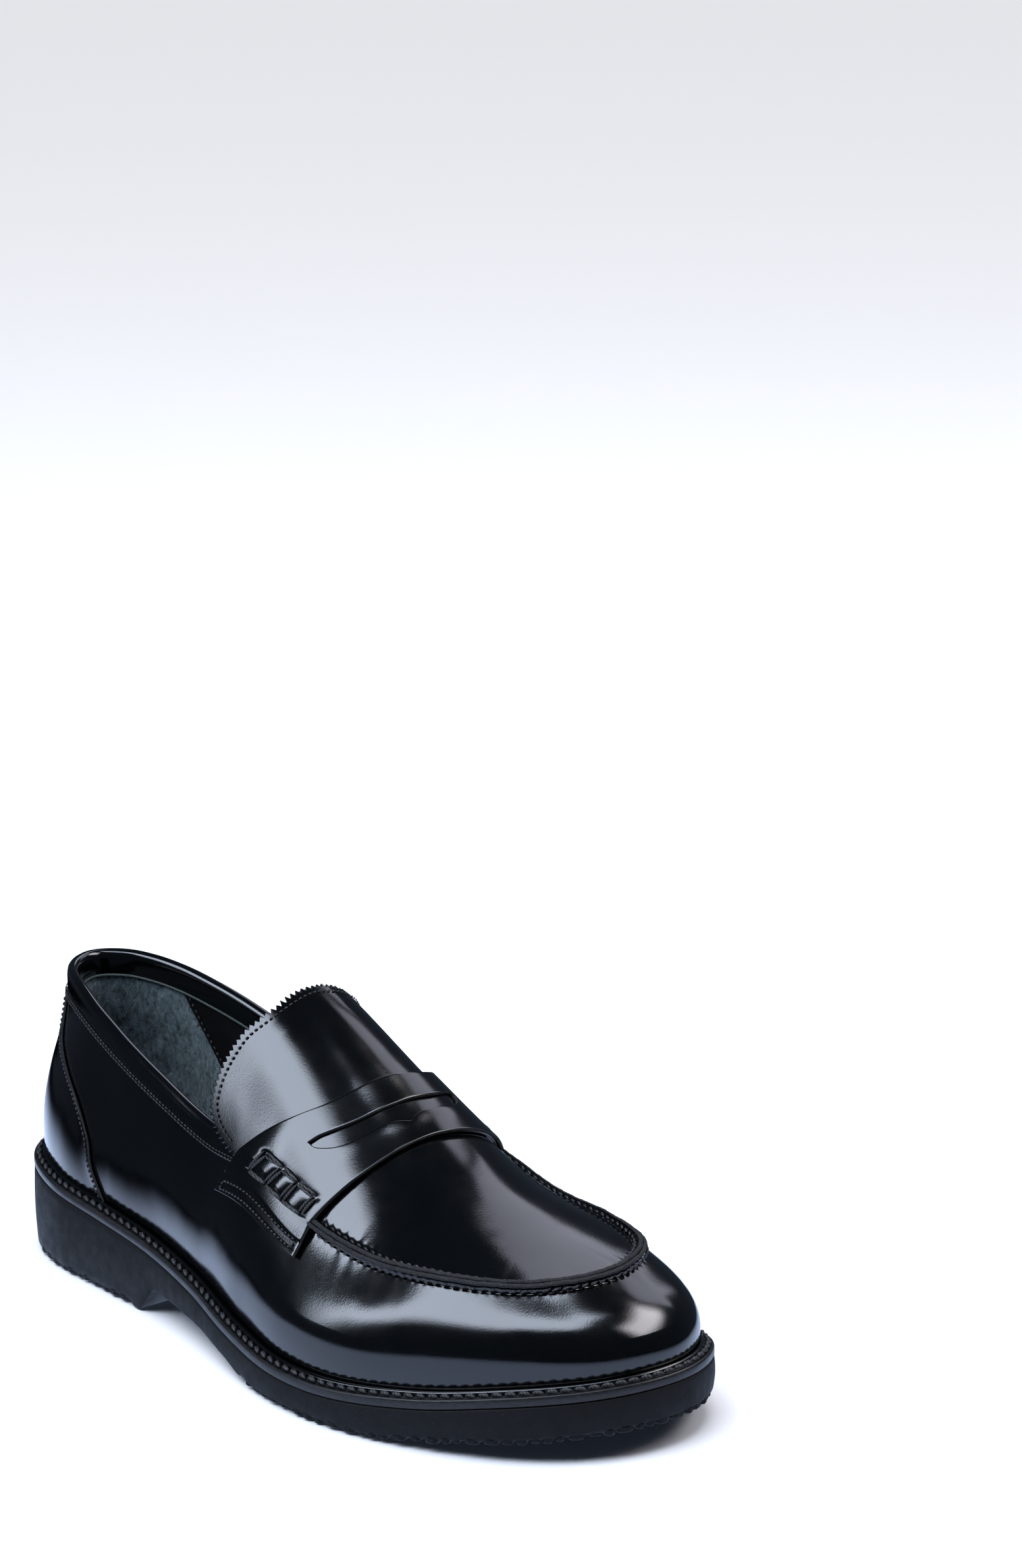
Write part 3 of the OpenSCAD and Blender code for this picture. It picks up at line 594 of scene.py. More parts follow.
def foam(name):
    """Moulded sole foam: matt black, with fine pale specks and a faint wavy skin."""
    n = Nodes(name)
    specks = n.ramp(n.noise(0.55, 2, 0.6), 0, 1, 0.68, 0.76)
    skin = n.noise(1.6, 4, 0.65)
    n.set(Base_Color=n.blend(specks, (0.004, 0.0046, 0.0056), (0.034, 0.036, 0.041)),
          Roughness=n.ramp(n.noise(5, 3), 0.55, 0.7), Specular_IOR_Level=0.25,
          Normal=n.bump(skin, 0.07, n.bump(n.noise(18, 2), 0.12)))
    return n.m


def welt_edge(name):
    n = Nodes(name)
    fibres = n.noise(0.8, 4, 0.65, where=n.stretch((0.35, 0.35, 1.6)))
    n.set(Base_Color=n.blend(n.ramp(fibres, 0, 1, 0.35, 0.75), (0.005, 0.0052, 0.006),
                             (0.016, 0.017, 0.019)),
          Roughness=n.ramp(n.noise(6, 3), 0.3, 0.46), Specular_IOR_Level=0.4, Coat_Weight=0.2,
          Coat_Roughness=0.22, Normal=n.bump(fibres, 0.06))
    return n.m


def thread(name, low, high, rough=0.5, ply_mm=0.9, depth=0.14):
    """Waxed thread: its plies run slantwise round it."""
    n = Nodes(name)
    ply = n.new("ShaderNodeTexWave", {"Vector": n.where, "Scale": 1000 / (ply_mm * 3.2),
                                      "Distortion": 1.2, "Detail": 2.0, "Detail Scale": 2.0},
                bands_direction="DIAGONAL").outputs["Fac"]
    n.set(Base_Color=n.blend(n.add(n.times(ply, 0.7), n.times(n.noise(0.4, 3), 0.4)), low, high),
          Roughness=rough, Specular_IOR_Level=0.5,
          Normal=n.bump(n.add(ply, n.times(n.noise(0.3, 3), 0.6)), depth))
    return n.m


def plain(name, low, high, rough, size_mm, depth, **more):
    """A simple material with two colours in grains of one size."""
    n = Nodes(name)
    grains = n.noise(size_mm, 4, 0.7)
    n.set(Base_Color=n.blend(n.ramp(grains, 0, 1, 0.35, 0.7), low, high), Roughness=rough,
          Normal=n.bump(grains, depth), **more)
    return n.m


GLOSS = polished("gloss_leather")
BEAD = polished("bead_leather", rough=(0.16, 0.3), grain=0.01)
RAW = raw_edge("raw_edge")
SMOOTH = lining("smooth_lining")
SUEDE = suede("suede")
SUEDE_EDGE = plain("suede_edge", (0.035, 0.046, 0.046), (0.1, 0.125, 0.122), 0.95, 0.5, 0.1)
SOLE = foam("sole_foam")
WELT_MAT = welt_edge("welt_edge")
CORD = thread("waxed_cord", (0.006, 0.0065, 0.0072), (0.044, 0.047, 0.052), rough=0.4)
THREAD = thread("black_thread", (0.006, 0.0063, 0.007), (0.046, 0.048, 0.053), rough=0.45, ply_mm=0.5,
                depth=0.06)
WHITE = thread("white_thread", (0.5, 0.5, 0.48), (0.8, 0.8, 0.77), rough=0.7, ply_mm=0.5, depth=0.06)
CORK = plain("cork", (0.16, 0.09, 0.04), (0.55, 0.37, 0.2), 0.8, 1.4, 0.2)
BOARD = plain("fibreboard", (0.2, 0.13, 0.07), (0.34, 0.24, 0.14), 0.75, 0.6, 0.06)
STEEL = plain("steel", (0.5, 0.51, 0.53), (0.62, 0.63, 0.65), 0.3, 0.8, 0.01, Metallic=1.0)
CANVAS = plain("backing_cloth", (0.5, 0.46, 0.38), (0.74, 0.7, 0.62), 0.9, 0.7, 0.12)
FOAM_PAD = plain("latex_foam", (0.5, 0.4, 0.24), (0.74, 0.63, 0.43), 0.85, 0.9, 0.15)

# the stiffening inside shows as its CAD solids
for node, material in (("cork_filler", CORK), ("shank", STEEL), ("insole_board", BOARD),
                       ("toe_puff", CANVAS), ("heel_counter", BOARD),
                       ("quarter_backing_lateral", CANVAS), ("quarter_backing_medial", CANVAS)):
    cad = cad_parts[node]
    cad.data.materials.clear()
    cad.data.materials.append(material)

# ---------------------------------------------------------------- bottom
STATIONS = 360
ring_s = np.arange(STATIONS) * N_COL / STATIONS


def capped_ring(name, levels, cap_shares, material, top_z, low_z, **kw):
    """A solid bounded by rings round the sole and by a deck above and one below.

    levels are (offset, height function of x) from the rim of the upper deck to that of the lower."""
    rings = []
    for off, height in levels:
        p = outline(ring_s, np.full(STATIONS, off))
        rings.append(np.column_stack([p, height(p[:, 0])]))
    points = np.concatenate(rings)
    faces = grid_faces(len(levels), STATIONS, wrap_cols=True)[:, [0, 3, 2, 1]].tolist()
    half = STATIONS // 2
    for ring, z in ((0, top_z), (len(levels) - 1, low_z)):
        base = ring * STATIONS
        deck_rows = [[base]]
        for i in range(1, half):
            a, b = rings[ring][i, :2], rings[ring][STATIONS - i, :2]
            inner = np.array([mix(a, b, t) for t in cap_shares[1:-1]])
            new = range(len(points), len(points) + len(inner))
            points = np.concatenate([points, np.column_stack([inner, z(inner[:, 0])])])
            deck_rows.append([base + i, *new, base + STATIONS - i])
        deck_rows.append([base + half])
        for a, b in zip(deck_rows, deck_rows[1:]):
            if len(a) == 1:
                faces += [[a[0], b[j], b[j + 1]] for j in range(len(b) - 1)]
            elif len(b) == 1:
                faces += [[b[0], a[j + 1], a[j]] for j in range(len(a) - 1)]
            else:
                faces += [[a[j], a[j + 1], b[j + 1], b[j]] for j in range(len(a) - 1)]
    return solid(name, points, faces, material, **kw)


LUG = 1.7


def lug_share(x):
    """Where the tread has lugs: under the heel and under the forefoot."""
    return np.maximum(1 - step(x, HEEL_L - 5, HEEL_L - 3), step(x, 160, 164))


def sole_low(x):
    return straight(TREAD_Z, x) + LUG * lug_share(x)


def sole_top(x):
    return smooth(WELT_TOP, x) - WELT


def sole_levels():
    def between(t):
        return lambda x: mix(sole_top(x), sole_low(x), t)
    rounding_top = [(2.0, sole_top), (SOLE_MARGIN - 0.9, sole_top),
                    (SOLE_MARGIN - 0.25, lambda x: sole_top(x) - 0.12),
                    (SOLE_MARGIN, lambda x: sole_top(x) - 0.5)]
    side = [(SOLE_MARGIN + 0.45 * math.sin(math.pi * t) - 0.25 * t, between(0.04 + 0.92 * t))
            for t in np.linspace(0.08, 0.92, 7)]
    low = [(SOLE_MARGIN - 0.3, lambda x: sole_low(x) + 0.3), (SOLE_MARGIN - 0.8, sole_low),
           (0.0, sole_low)]
    return rounding_top + side + low


capped_ring("outsole_body", sole_levels(), np.linspace(0, 1, 9), SOLE, sole_top, sole_low,
            replaces=["outsole"], slot="sole_eva")
RIM_LUG_BAND = 9.0
outline_inner = outline(ring_s, np.full(STATIONS, SOLE_MARGIN - RIM_LUG_BAND))


def within(p):
    """Whether p lies inside the ring that the rim's lugs leave free."""
    a, b = outline_inner, np.roll(outline_inner, -1, 0)
    crossing = (a[:, 1] > p[1]) != (b[:, 1] > p[1])
    at = a[:, 0] + (p[1] - a[:, 1]) / np.where(crossing, b[:, 1] - a[:, 1], 1) * (b[:, 0] - a[:, 0])
    return np.sum(crossing & (p[0] < at)) % 2 == 1


def lug_points(centre, direction, length, width, height, roundness=0.28):
    """A tread lug: a block with cut corners that narrows downwards."""
    corner = np.array([[1, roundness * 1.6], [1 - roundness, 1], [-1 + roundness, 1],
                       [-1, roundness * 1.6], [-1, -roundness * 1.6], [-1 + roundness, -1],
                       [1 - roundness, -1], [1, -roundness * 1.6]])
    d = unit(np.array(direction, float))
    side = np.array([-d[1], d[0]])
    rows = []
    for share, z in ((1.0, 0.6), (1.0, -height * 0.55), (0.9, -height * 0.9), (0.72, -height)):
        xy = corner[:, :1] * d * length / 2 * share + corner[:, 1:] * side * width / 2 * share
        rows.append(np.column_stack([centre[0] + xy[:, 0], centre[1] + xy[:, 1],
                                     np.full(8, centre[2] + z)]))
    return np.array(rows)


def rim_lugs():
    """The lugs along the sole's rim, uneven like the ragged edge of a moulded sole."""
    t = np.linspace(0, N_COL, 4001)
    rim_mm = length_along(outline(t, np.full_like(t, SOLE_MARGIN)))
    # more gaps than the rim has room for
    gaps = rng.uniform(3.4, 7.4, 260)
    at = np.cumsum(gaps)
    for mm, gap in zip(at[at < rim_mm[-1]], gaps):
        s = np.interp(mm - gap / 2, rim_mm, t)
        p, q = outline(s, SOLE_MARGIN - 3.55), outline(s, SOLE_MARGIN)
        if lug_share(p[0]) < 0.6:
            continue
        depth = rng.uniform(0.55, 1.0)
        reach = 6.6 + 0.7 * rng.normal()
        centre = [*p, sole_low(p[0]) + 0.1]
        width = gap * rng.uniform(0.62, 0.86)
        yield lug_points(centre, q - p, min(reach, 6.9), width, (LUG - 0.02) * depth)


def inner_lugs():
    """The rows of slanted lugs inside the rim."""
    for x in np.arange(4, 292, 7.0):
        for k, y in enumerate(np.arange(-60, 60, 6.2)):
            p = np.array([x + (3.5 if k % 2 else 0), y])
            if (lug_share(p[0]) >= 0.99 and np.linalg.norm(outline_inner - p, axis=1).min() > 1.5
                    and within(p)):
                yield lug_points([*p, sole_low(p[0])], [1, 0.3 if k % 2 else -0.3], 4.8, 4.2, LUG - 0.05)


lugs = np.array([*rim_lugs(), *inner_lugs()])
count, rows, cols = lugs.shape[:3]
lug_faces = [f for k in range(count) for f in tube_faces(rows, cols, start=k * rows * cols)]
solid("outsole_lugs", lugs.reshape(-1, 3), lug_faces, SOLE, slot="sole_eva", flat=True)


def ring_loft(name, profile, material, **kw):
    """A closed band round the shoe. profile is a loop of (distance outside the feather line, height
    above the welt's top)."""
    s = np.repeat(ring_s[:, None], len(profile), 1)
    off, up = (np.tile(side, (STATIONS, 1)) for side in np.array(profile, float).T)
    return loft(name, on_welt(s, off, up), material, **kw)


WELT_PROFILE = [(-3.9, -3.3), (4.3, -3.3), (4.85, -3.15), (5.08, -2.75), (5.12, -1.6), (5.08, -0.75),
                (4.92, -0.3), (4.62, -0.02), (4.3, 0.04), (4.1, -0.1), (3.8, -0.32), (3.2, -0.42),
                (2.6, -0.34), (2.3, -0.05), (2.0, 0.05), (-3.9, 0.0)]
ring_loft("welt_strip", WELT_PROFILE, WELT_MAT, replaces=["welt"], slot="welt_leather")
BEAD_R = 0.98
bead_profile = [(1.25 + BEAD_R * math.cos(a), 0.78 + BEAD_R * 1.05 * math.sin(a))
                for a in np.linspace(0, 2 * math.pi, 16, endpoint=False)]
ring_loft("welt_bead_roll", bead_profile, BEAD, replaces=["welt_bead"], slot="upper_leather")


def welt_line(s):
    return on_welt(s, np.full_like(s, 3.22), np.full_like(s, -0.12))


stitch_rows("welt_cords", [(welt_line, upwards, 0, N_COL)], 4.3, 0.97, 1.45, CORD,
            tilt=-0.24, sink=0.12, jitter=0.03, replaces=["welt_stitching"])

# ---------------------------------------------------------------- inside
BOARD_T, SOCK_T, PAD_H = 2.2, 1.1, 1.8
SOCK_LENGTH, SOCK_WIDTH = 260, 60


def pad_up(x):
    return PAD_H * (1 - step(x, 68, 96))


def sock_low(x):
    """Height of the sock's underside above the welt's top: it rises over the heel pad."""
    return BOARD_T + 0.2 + np.maximum(pad_up(x), 0.15)


def sock_surface(u, w, off):
    s = 0.12 + u * 11.7
    p = deck(s, w, LINING_IN + 0.25, 0)
    cup = 1.6 * np.exp(-np.minimum(w, 1 - w) * 22)
    p[..., 2] += sock_low(p[..., 0]) + off + cup
    return p


plate("sock", sock_surface, edged(SOCK_LENGTH, 0.5, 150), edged(SOCK_WIDTH, 0.5, 34), 0, SOCK_T, SMOOTH,
      radius=0.4, shape=ripples(SOCK_LENGTH, SOCK_WIDTH, (0.12, 17, 3)),
      replaces=["sock_liner"], slot="lining_leather")


def pad_points():
    """The foam pad under the sock: a crowned form that is flat where it lies on the insole."""
    u, t = np.meshgrid(np.linspace(0, 1, 40), np.linspace(0, 1, 18), indexing="ij")
    p = deck(0.75 + u * 2.75, 0.06 + 0.88 * t, LINING_IN + 2.5, 0)
    crown = (1 - (2 * t - 1) ** 6) * (1 - (2 * u - 1) ** 8)
    low, high = p.copy(), p.copy()
    low[..., 2] += BOARD_T + 0.1
    high[..., 2] += BOARD_T + 0.1 + np.maximum(pad_up(p[..., 0]) - 0.3, 0.12) * crown
    return high, low, crown < 1e-6


pad_top, pad_base, pad_thin = pad_points()
pad = sheet("heel_pad_foam", pad_top, pad_base, pad_thin, FOAM_PAD, replaces=["heel_pad"], slot="foam")


def sock_line(s):
    inset = LINING_IN + 3.6
    p = on_welt(s, np.full_like(s, -inset), np.zeros_like(s))
    p[..., 2] += sock_low(p[..., 0]) + SOCK_T + 0.12
    return p


stitch_rows("sock_thread", [(sock_line, upwards, 0.9, 6.2), (sock_line, upwards, N_COL - 6.2, N_COL - 0.9)],
            2.7, 0.68, 0.75, WHITE, replaces=["sock_stitching"], slot="thread_white")


def suede_edge(v):
    """The column where the suede of the heel ends: further forward lower down."""
    return 1.85 + 1.45 * (1 - v)


def wall_sheet(from_s, to_s, v0=0.0, v1=1.0):
    """surface(u, w, off) on the upper's wall, between two columns that may vary with the height."""
    def surface(u, w, off):
        v = v0 + w * (v1 - v0)
        a = from_s(v) if callable(from_s) else from_s
        b = to_s(v) if callable(to_s) else to_s
        return wall(a + u * (b - a), v, off)
    return surface


plate("suede_grip", wall_sheet(lambda v: -suede_edge(v), suede_edge, 0.05, 0.93), edged(165, 0.5, 130),
      edged(60, 0.5, 44), -LINING_IN - 0.5, -LINING_OUT, SUEDE, radius=0.5,
      shape=ripples(165, 60, (0.16, 16, 5), (0.07, 5, 6)), replaces=["heel_grip"], slot="suede")
for side, name in ((-1, "quarter_lining_medial"), (1, "quarter_lining_lateral")):
    plate(name.replace("quarter_lining", "inside_quarter"),
          wall_sheet(lambda v, k=side: k * (suede_edge(v) - 0.5), side * 6.3, 0.02, 0.975),
          edged(80, 0.4, 50), edged(60, 0.4, 30), -LINING_IN, -LINING_OUT, SMOOTH,
          shape=ripples(80, 60, (0.1, 15, 8)), replaces=[name], slot="lining_leather")
plate("inside_vamp", wall_sheet(6.32, N_COL - 6.32, 0.01, 0.9), edged(330, 0.4, 150), edged(50, 0.4, 24),
      -LINING_IN, -LINING_OUT, SMOOTH, replaces=["vamp_lining"], slot="lining_leather")


def grip_row(side):
    """The seam where the suede meets the lining, on one side."""
    def curve(v):
        return wall(side * (suede_edge(v) + 0.1), v, -LINING_IN - 0.05)

    def out(v):
        return -wall_out(side * (suede_edge(v) + 0.1), v)
    return curve, out, 0.1, 0.88


stitch_rows("grip_thread", [grip_row(-1), grip_row(1)], 2.3, 0.65, 0.6, THREAD, normal_at=0)


# ---------------------------------------------------------------- upper
def seam_frame(s):
    """The apron seam at column s: its point, and the directions outwards and up off the leather."""
    p = ring_at(RING_HIGH, s)
    along = unit(ring_at(RING_HIGH, s + 0.03) - ring_at(RING_HIGH, s - 0.03))
    up = unit(wall_out(s, np.full_like(s, 0.96)) + instep_out(p[..., 0], p[..., 1]))
    out = unit(np.cross(along, up))
    return p, out, np.cross(out, along)


SEAM_FADE, LIP_FIRST, STITCH_FIRST = (7.02, 7.14), 7.1, 7.16


def in_seam(s):
    """1 along the apron seam and 0 under the strap and round the collar."""
    s = np.mod(s, N_COL)
    return step(np.minimum(s, N_COL - s), *SEAM_FADE)


seam_s = np.linspace(0, N_COL, 4001)
seam_length = length_along(ring_at(RING_HIGH, seam_s))


def seam_mm(s):
    """Length along the top line, so that stitches and puckers share one pitch."""
    return np.interp(np.mod(s, N_COL), seam_s, seam_length)


SEAM_PITCH = 3.1


def pucker(s, distance, depth=0.24):
    """How far the leather dips at the seam's stitch holes, dying away from the seam."""
    mm = seam_mm(s)
    at_hole = 0.5 + 0.5 * np.cos(2 * np.pi * mm / SEAM_PITCH)
    line = np.stack([mm, 0 * mm], -1)
    slow = 0.5 + 0.5 * waves(line, 21, 31)
    gather = waves(line, 6.5, 32)
    near = np.exp(-((distance - 1.2) / 1.3) ** 2)
    wide = np.exp(-np.maximum(distance - 1, 0) / 4.5)
    return -depth * near * at_hole**2 + 0.08 * wide * gather * slow


def uneven(p, wide, fine, seed):
    """The slight unevenness of stretched leather, at two sizes of wave."""
    return 0.03 * waves(p, wide, seed) + 0.006 * waves(p, fine, seed + 1)


def top_reach(s):
    """About how far the wall's top bend lies from the top line, along the wall."""
    s = np.mod(s, N_COL)
    return 3 * straight(TOP_REACH, np.minimum(s, N_COL - s))


def wall_relief(s, v):
    return uneven(wall_at(s, v), 34, 11, 41) + in_seam(s) * pucker(s, top_reach(s) * (1 - v))


# the seam lips' outer and inner faces: distances from the top line, outwards and up
LIP_OUT = [(1.72, 0.05), (1.52, 0.35), (1.44, 0.9), (1.42, 1.5), (1.38, 1.98)]
LIP_IN = [(1.3, -1.3), (0.5, -1.1), (0.12, -0.4), (0.1, 0.8), (0.1, 1.98)]


def lip_row(s, o, n, side, holes=True):
    """A point of a seam lip: o outwards on the vamp's side (side 1) or inwards on the apron's."""
    p, out, up = seam_frame(s)
    mm = seam_mm(s)
    line = np.stack([mm, 0 * mm], -1)
    pinch = 0.5 + 0.5 * np.cos(2 * np.pi * mm / SEAM_PITCH)
    squeeze = 0.16 * pinch * np.exp(-((n - 0.5) / 0.8) ** 2) if holes and o > 0.8 else 0
    wander = 0.07 * waves(line, 9, 51 + side) + 0.05 * waves(line, 3.4, 53 + side)
    high = 0.1 * waves(line, 14, 55 + side) + 0.05 * waves(line, 3.0, 57 + side)
    o = o - squeeze + wander * np.clip(n, 0, 1)
    n = n + high * np.clip(n / 2, 0, 1)
    return p + side * out * np.asarray(o)[..., None] + up * np.asarray(n)[..., None]


VAMP_STATIONS = 960
VAMP_EDGE_MM = 40
SEAM_ROWS = [26, 21, 17, 13.5, 11, 9, 7.4, 6, 5, 4.2, 3.6, 3.1, 2.7, 2.35, 2.05]


def vamp_grids():
    """The wall's leather: rows from its lower edge up, then the seam's lip or a plain top edge."""
    s = np.linspace(0, N_COL, VAMP_STATIONS, endpoint=False)
    reach = top_reach(s)
    low_v = np.unique(np.round(edged(VAMP_EDGE_MM, 0.35, 14)[:-5] * 0.42, 5))
    rows = []
    for v in low_v:
        vv = np.full_like(s, v)
        full = rounding(v * VAMP_EDGE_MM, 0.35)
        mid, half = -LEATHER / 2, LEATHER / 2 * full
        rows.append((wall(s, vv, mid + half + wall_relief(s, vv)), wall(s, vv, mid - half + 0 * s),
                     full < 1e-6))
    for k, d in enumerate(SEAM_ROWS):
        v = np.maximum(1 - d / reach, low_v.max() + 0.004 * (k + 1))
        rows.append((wall(s, v, wall_relief(s, v)), wall(s, v, -LEATHER), False))
    m = in_seam(s)[:, None]
    for k, ((o, n), (oi, ni)) in enumerate(zip(LIP_OUT, LIP_IN)):
        v = 1 - 1.7 * (1 - k / 4) / reach
        end = k == 4
        plain_top = wall(s, v, -0.35 if end else 0.0)
        plain_low = wall(s, v, -0.35 if end else -LEATHER)
        rows.append((mix(plain_top, lip_row(s, o, n, 1), m),
                     mix(plain_low, lip_row(s, oi, ni, 1, holes=False), m), False))
    # close the top edge
    last = (rows[-1][0] + rows[-1][1]) / 2
    rows.append((last, last, True))
    top, bottom, thin = zip(*rows)
    return np.stack(top, 1), np.stack(bottom, 1), np.tile(thin, (len(s), 1))


sheet("vamp_leather", *vamp_grids(), GLOSS, wrap=True, replaces=["vamp"], slot="upper_leather")

APRON_START, APRON_SUNK = 6.55, 0.4


def apron_middle(s):
    """The apron's middle line in plan. It stops in one point, short of the toe."""
    def line(s):
        p = (ring_at(RING_HIGH, s)[..., :2] + ring_at(RING_HIGH, N_COL - s)[..., :2]) / 2
        turn_x, soft = 236, 7.0
        # past turn_x the line hardly goes on, which leaves it short of the toe
        p[..., 0] -= soft * np.log1p(np.exp((p[..., 0] - turn_x) / soft))
        return p
    p, last = line(s), line(np.full_like(s, 12.0))
    near = np.linalg.norm(p - last, axis=-1) < 2.5
    return np.where(near[..., None], last, p)


def apron_grids():
    s = np.concatenate([np.linspace(APRON_START, 11, 200)[:-1], np.linspace(11, 12, 90)])
    lateral, medial = s, N_COL - s
    centre = apron_middle(s)
    shares = np.concatenate([np.array([2.05, 2.4, 2.8, 3.3, 4, 5, 6.2, 7.6, 9.2]) / 36,
                             np.linspace(0.31, 1, 16)[:-1]])

    def on_instep(xy, sunk, relief):
        """The upper and lower face at xy, sunk where the apron runs under the strap."""
        return (instep(xy[:, 0], xy[:, 1], relief - APRON_SUNK * sunk),
                instep(xy[:, 0], xy[:, 1], -LEATHER - APRON_SUNK * sunk))

    def relief(xy):
        flat = np.column_stack([xy, 0 * xy[:, 0]])
        return 0.03 * waves(flat, 30, 61) + 0.006 * waves(xy, 10, 62)

    def side_rows(q):
        edge = ring_at(RING_HIGH, q)
        m = in_seam(q)
        rows = []
        for k in reversed(range(5)):
            flat = edge[:, :2] + unit(centre - edge[:, :2]) * (1.8 - 0.3 * k)
            flat_top = instep(flat[:, 0], flat[:, 1], -APRON_SUNK)
            flat_low = instep(flat[:, 0], flat[:, 1], -APRON_SUNK - LEATHER)
            rows.append((mix(flat_top, lip_row(q, *LIP_OUT[k], -1), m[:, None]),
                         mix(flat_low, lip_row(q, *LIP_IN[k], -1, holes=False), m[:, None])))
        for r in shares:
            xy = mix(edge[:, :2], centre, r)
            d = np.linalg.norm(xy - edge[:, :2], axis=-1)
            rows.append(on_instep(xy, 1 - m, relief(xy) + m * pucker(q, d, 0.16)))
        return rows

    rows = [*side_rows(lateral), on_instep(centre, 1 - in_seam(lateral), relief(centre)),
            *side_rows(medial)[::-1]]
    # close the outer edges
    rims = [((top + bottom) / 2,) * 2 for top, bottom in (rows[0], rows[-1])]
    top, bottom = (np.stack(grid, 1) for grid in zip(rims[0], *rows, rims[1]))
    thin = np.zeros(top.shape[:2], bool)
    thin[:, [0, -1]] = True
    thin[0] = True
    bottom[0] = top[0]
    return top, bottom, thin


WELD_MM = 0.004
outward(sheet("apron_leather", *apron_grids(), GLOSS, replaces=["apron"], slot="upper_leather"), WELD_MM)


def under_apron(u, w, off):
    s = 7.3 + 4.2 * u
    edge = ring_at(RING_HIGH, np.where(w < 0.5, s, N_COL - s))[..., :2]
    xy = mix(apron_middle(s), edge, 0.84 * np.abs(2 * w - 1)[..., None])
    return instep(xy[..., 0], xy[..., 1], off)


plate("apron_underside", under_apron, edged(90, 0.4, 60), edged(62, 0.4, 36), -2.45, -1.65, SMOOTH,
      replaces=["apron_lining"], slot="lining_leather")


def edge_cap(name, side):
    """The raw edge on top of a seam lip."""
    profile = [(0.1, 1.8), (0.1, 2.1), (0.2, 2.3), (0.45, 2.42), (0.8, 2.45), (1.15, 2.4), (1.36, 2.26),
               (1.45, 2.08), (1.44, 1.8)]
    s = np.linspace(LIP_FIRST, N_COL - LIP_FIRST, 700)
    loops = np.stack([lip_row(s, o, n, side, holes=False) for o, n in profile], 1)
    fray = 0.05 * waves(loops.reshape(-1, 3), 1.1, 71 + side).reshape(loops.shape[:2])
    up = seam_frame(s)[2]
    loops += up[:, None] * (fray * np.array([0, 0, 1, 1, 1, 1, 1, 0, 0]))[..., None]
    loft(name, loops, RAW, closed=False, slot="raw_edge")


edge_cap("vamp_seam_edge", 1)
edge_cap("apron_seam_edge", -1)


def seam_thread(name, side, o, n, width, length, node):
    """Stitches at a lip's foot: each comes out of one hole and goes into the next."""
    total = seam_mm(N_COL - STITCH_FIRST) - seam_mm(STITCH_FIRST)
    first = math.ceil(seam_mm(STITCH_FIRST) / SEAM_PITCH)
    holes = np.arange(first, first + int(total / SEAM_PITCH)) * SEAM_PITCH
    s0 = np.interp(holes + 0.3, seam_length, seam_s)
    s1 = np.interp(holes + 0.3 + length, seam_length, seam_s)
    a = lip_row(s0, o + 0.35, n - 0.12, side, holes=False)
    b = lip_row(s1, o - 0.1, n + 0.35, side, holes=False)
    _, out, up = seam_frame((s0 + s1) / 2)
    stitches(name, a, b, unit(side * out + up * 1.2), width, CORD, sink=0.1, replaces=[node],
             slot="thread_dark")


seam_thread("seam_thread_outer", 1, 1.75, 0.25, 0.8, 2.5, "seam_stitching_outer")
seam_thread("seam_thread_inner", -1, 1.75, 0.2, 0.7, 2.3, "seam_stitching_inner")

# ---------------------------------------------------------------- collar and heel
COLLAR_END = 5.85


def collar_shape(u, w):
    """A wavy band with a groove near its lower edge."""
    return ripples(320, 9, (0.02, 16, 81))(u, w) - 0.1 * np.exp(-((w - 0.19) / 0.05) ** 2)


plate("collar_strip", wall_sheet(-COLLAR_END, COLLAR_END, 0.862, 0.985), edged(320, 0.3, 330),
      edged(9, 0.3, 12), 0.02, 0.5, GLOSS, radius=0.3, shape=collar_shape,
      replaces=["collar_band"], slot="upper_leather")

BINDING = [(0.0, -2.6), (0.3, -2.2), (0.38, -1.2), (0.36, -0.2), (0.16, 0.65), (-0.3, 1.25), (-1.0, 1.6),
           (-1.8, 1.62), (-2.6, 1.3), (-3.2, 0.65), (-3.55, -0.2), (-3.75, -1.4), (-3.9, -3.2),
           (-3.92, -5.2), (-3.88, -6.6), (-3.7, -7.0), (-3.35, -6.9), (-3.3, -5.0), (-3.0, -1.2),
           (-1.5, -0.4), (-0.2, -0.8)]


def collar_loops(profile):
    """Loops of a profile of (outwards, upwards) along the topline."""
    s = np.linspace(-COLLAR_END, COLLAR_END, 420)
    p = wall_at(s, 1)
    up = unit(p - wall_at(s, 0.95))
    out = wall_out(s, np.full_like(s, 0.97))
    line = np.stack([s * 26, 0 * s], -1)
    wobble = 0.07 * waves(line, 22, 91)
    # the roll gets thinner where it runs under the strap
    slim = mix(1.0, 0.6, step(np.abs(s), 4.9, COLLAR_END))
    return np.stack([p + out * ((a + 1.5) * slim - 1.5 + wobble)[:, None] + up * (b * slim)[:, None]
                     for a, b in profile], 1)


loft("topline_roll", collar_loops(BINDING), GLOSS, closed=False, replaces=["topline_binding"],
     slot="upper_leather")
PIPING = [(-3.35 + 0.42 * math.cos(t) - 0.35, -7.15 + 0.5 * math.sin(t))
          for t in np.linspace(0, 2 * math.pi, 8, endpoint=False)]
loft("topline_inner_edge", collar_loops(PIPING), SUEDE_EDGE, closed=False, slot="suede")


def wall_row(line, height, t0, t1):
    """A row of stitches for stitch_rows() on the wall; line(t) gives its columns and heights."""
    return (lambda t: wall(*line(t), height)), (lambda t: wall_out(*line(t))), t0, t1


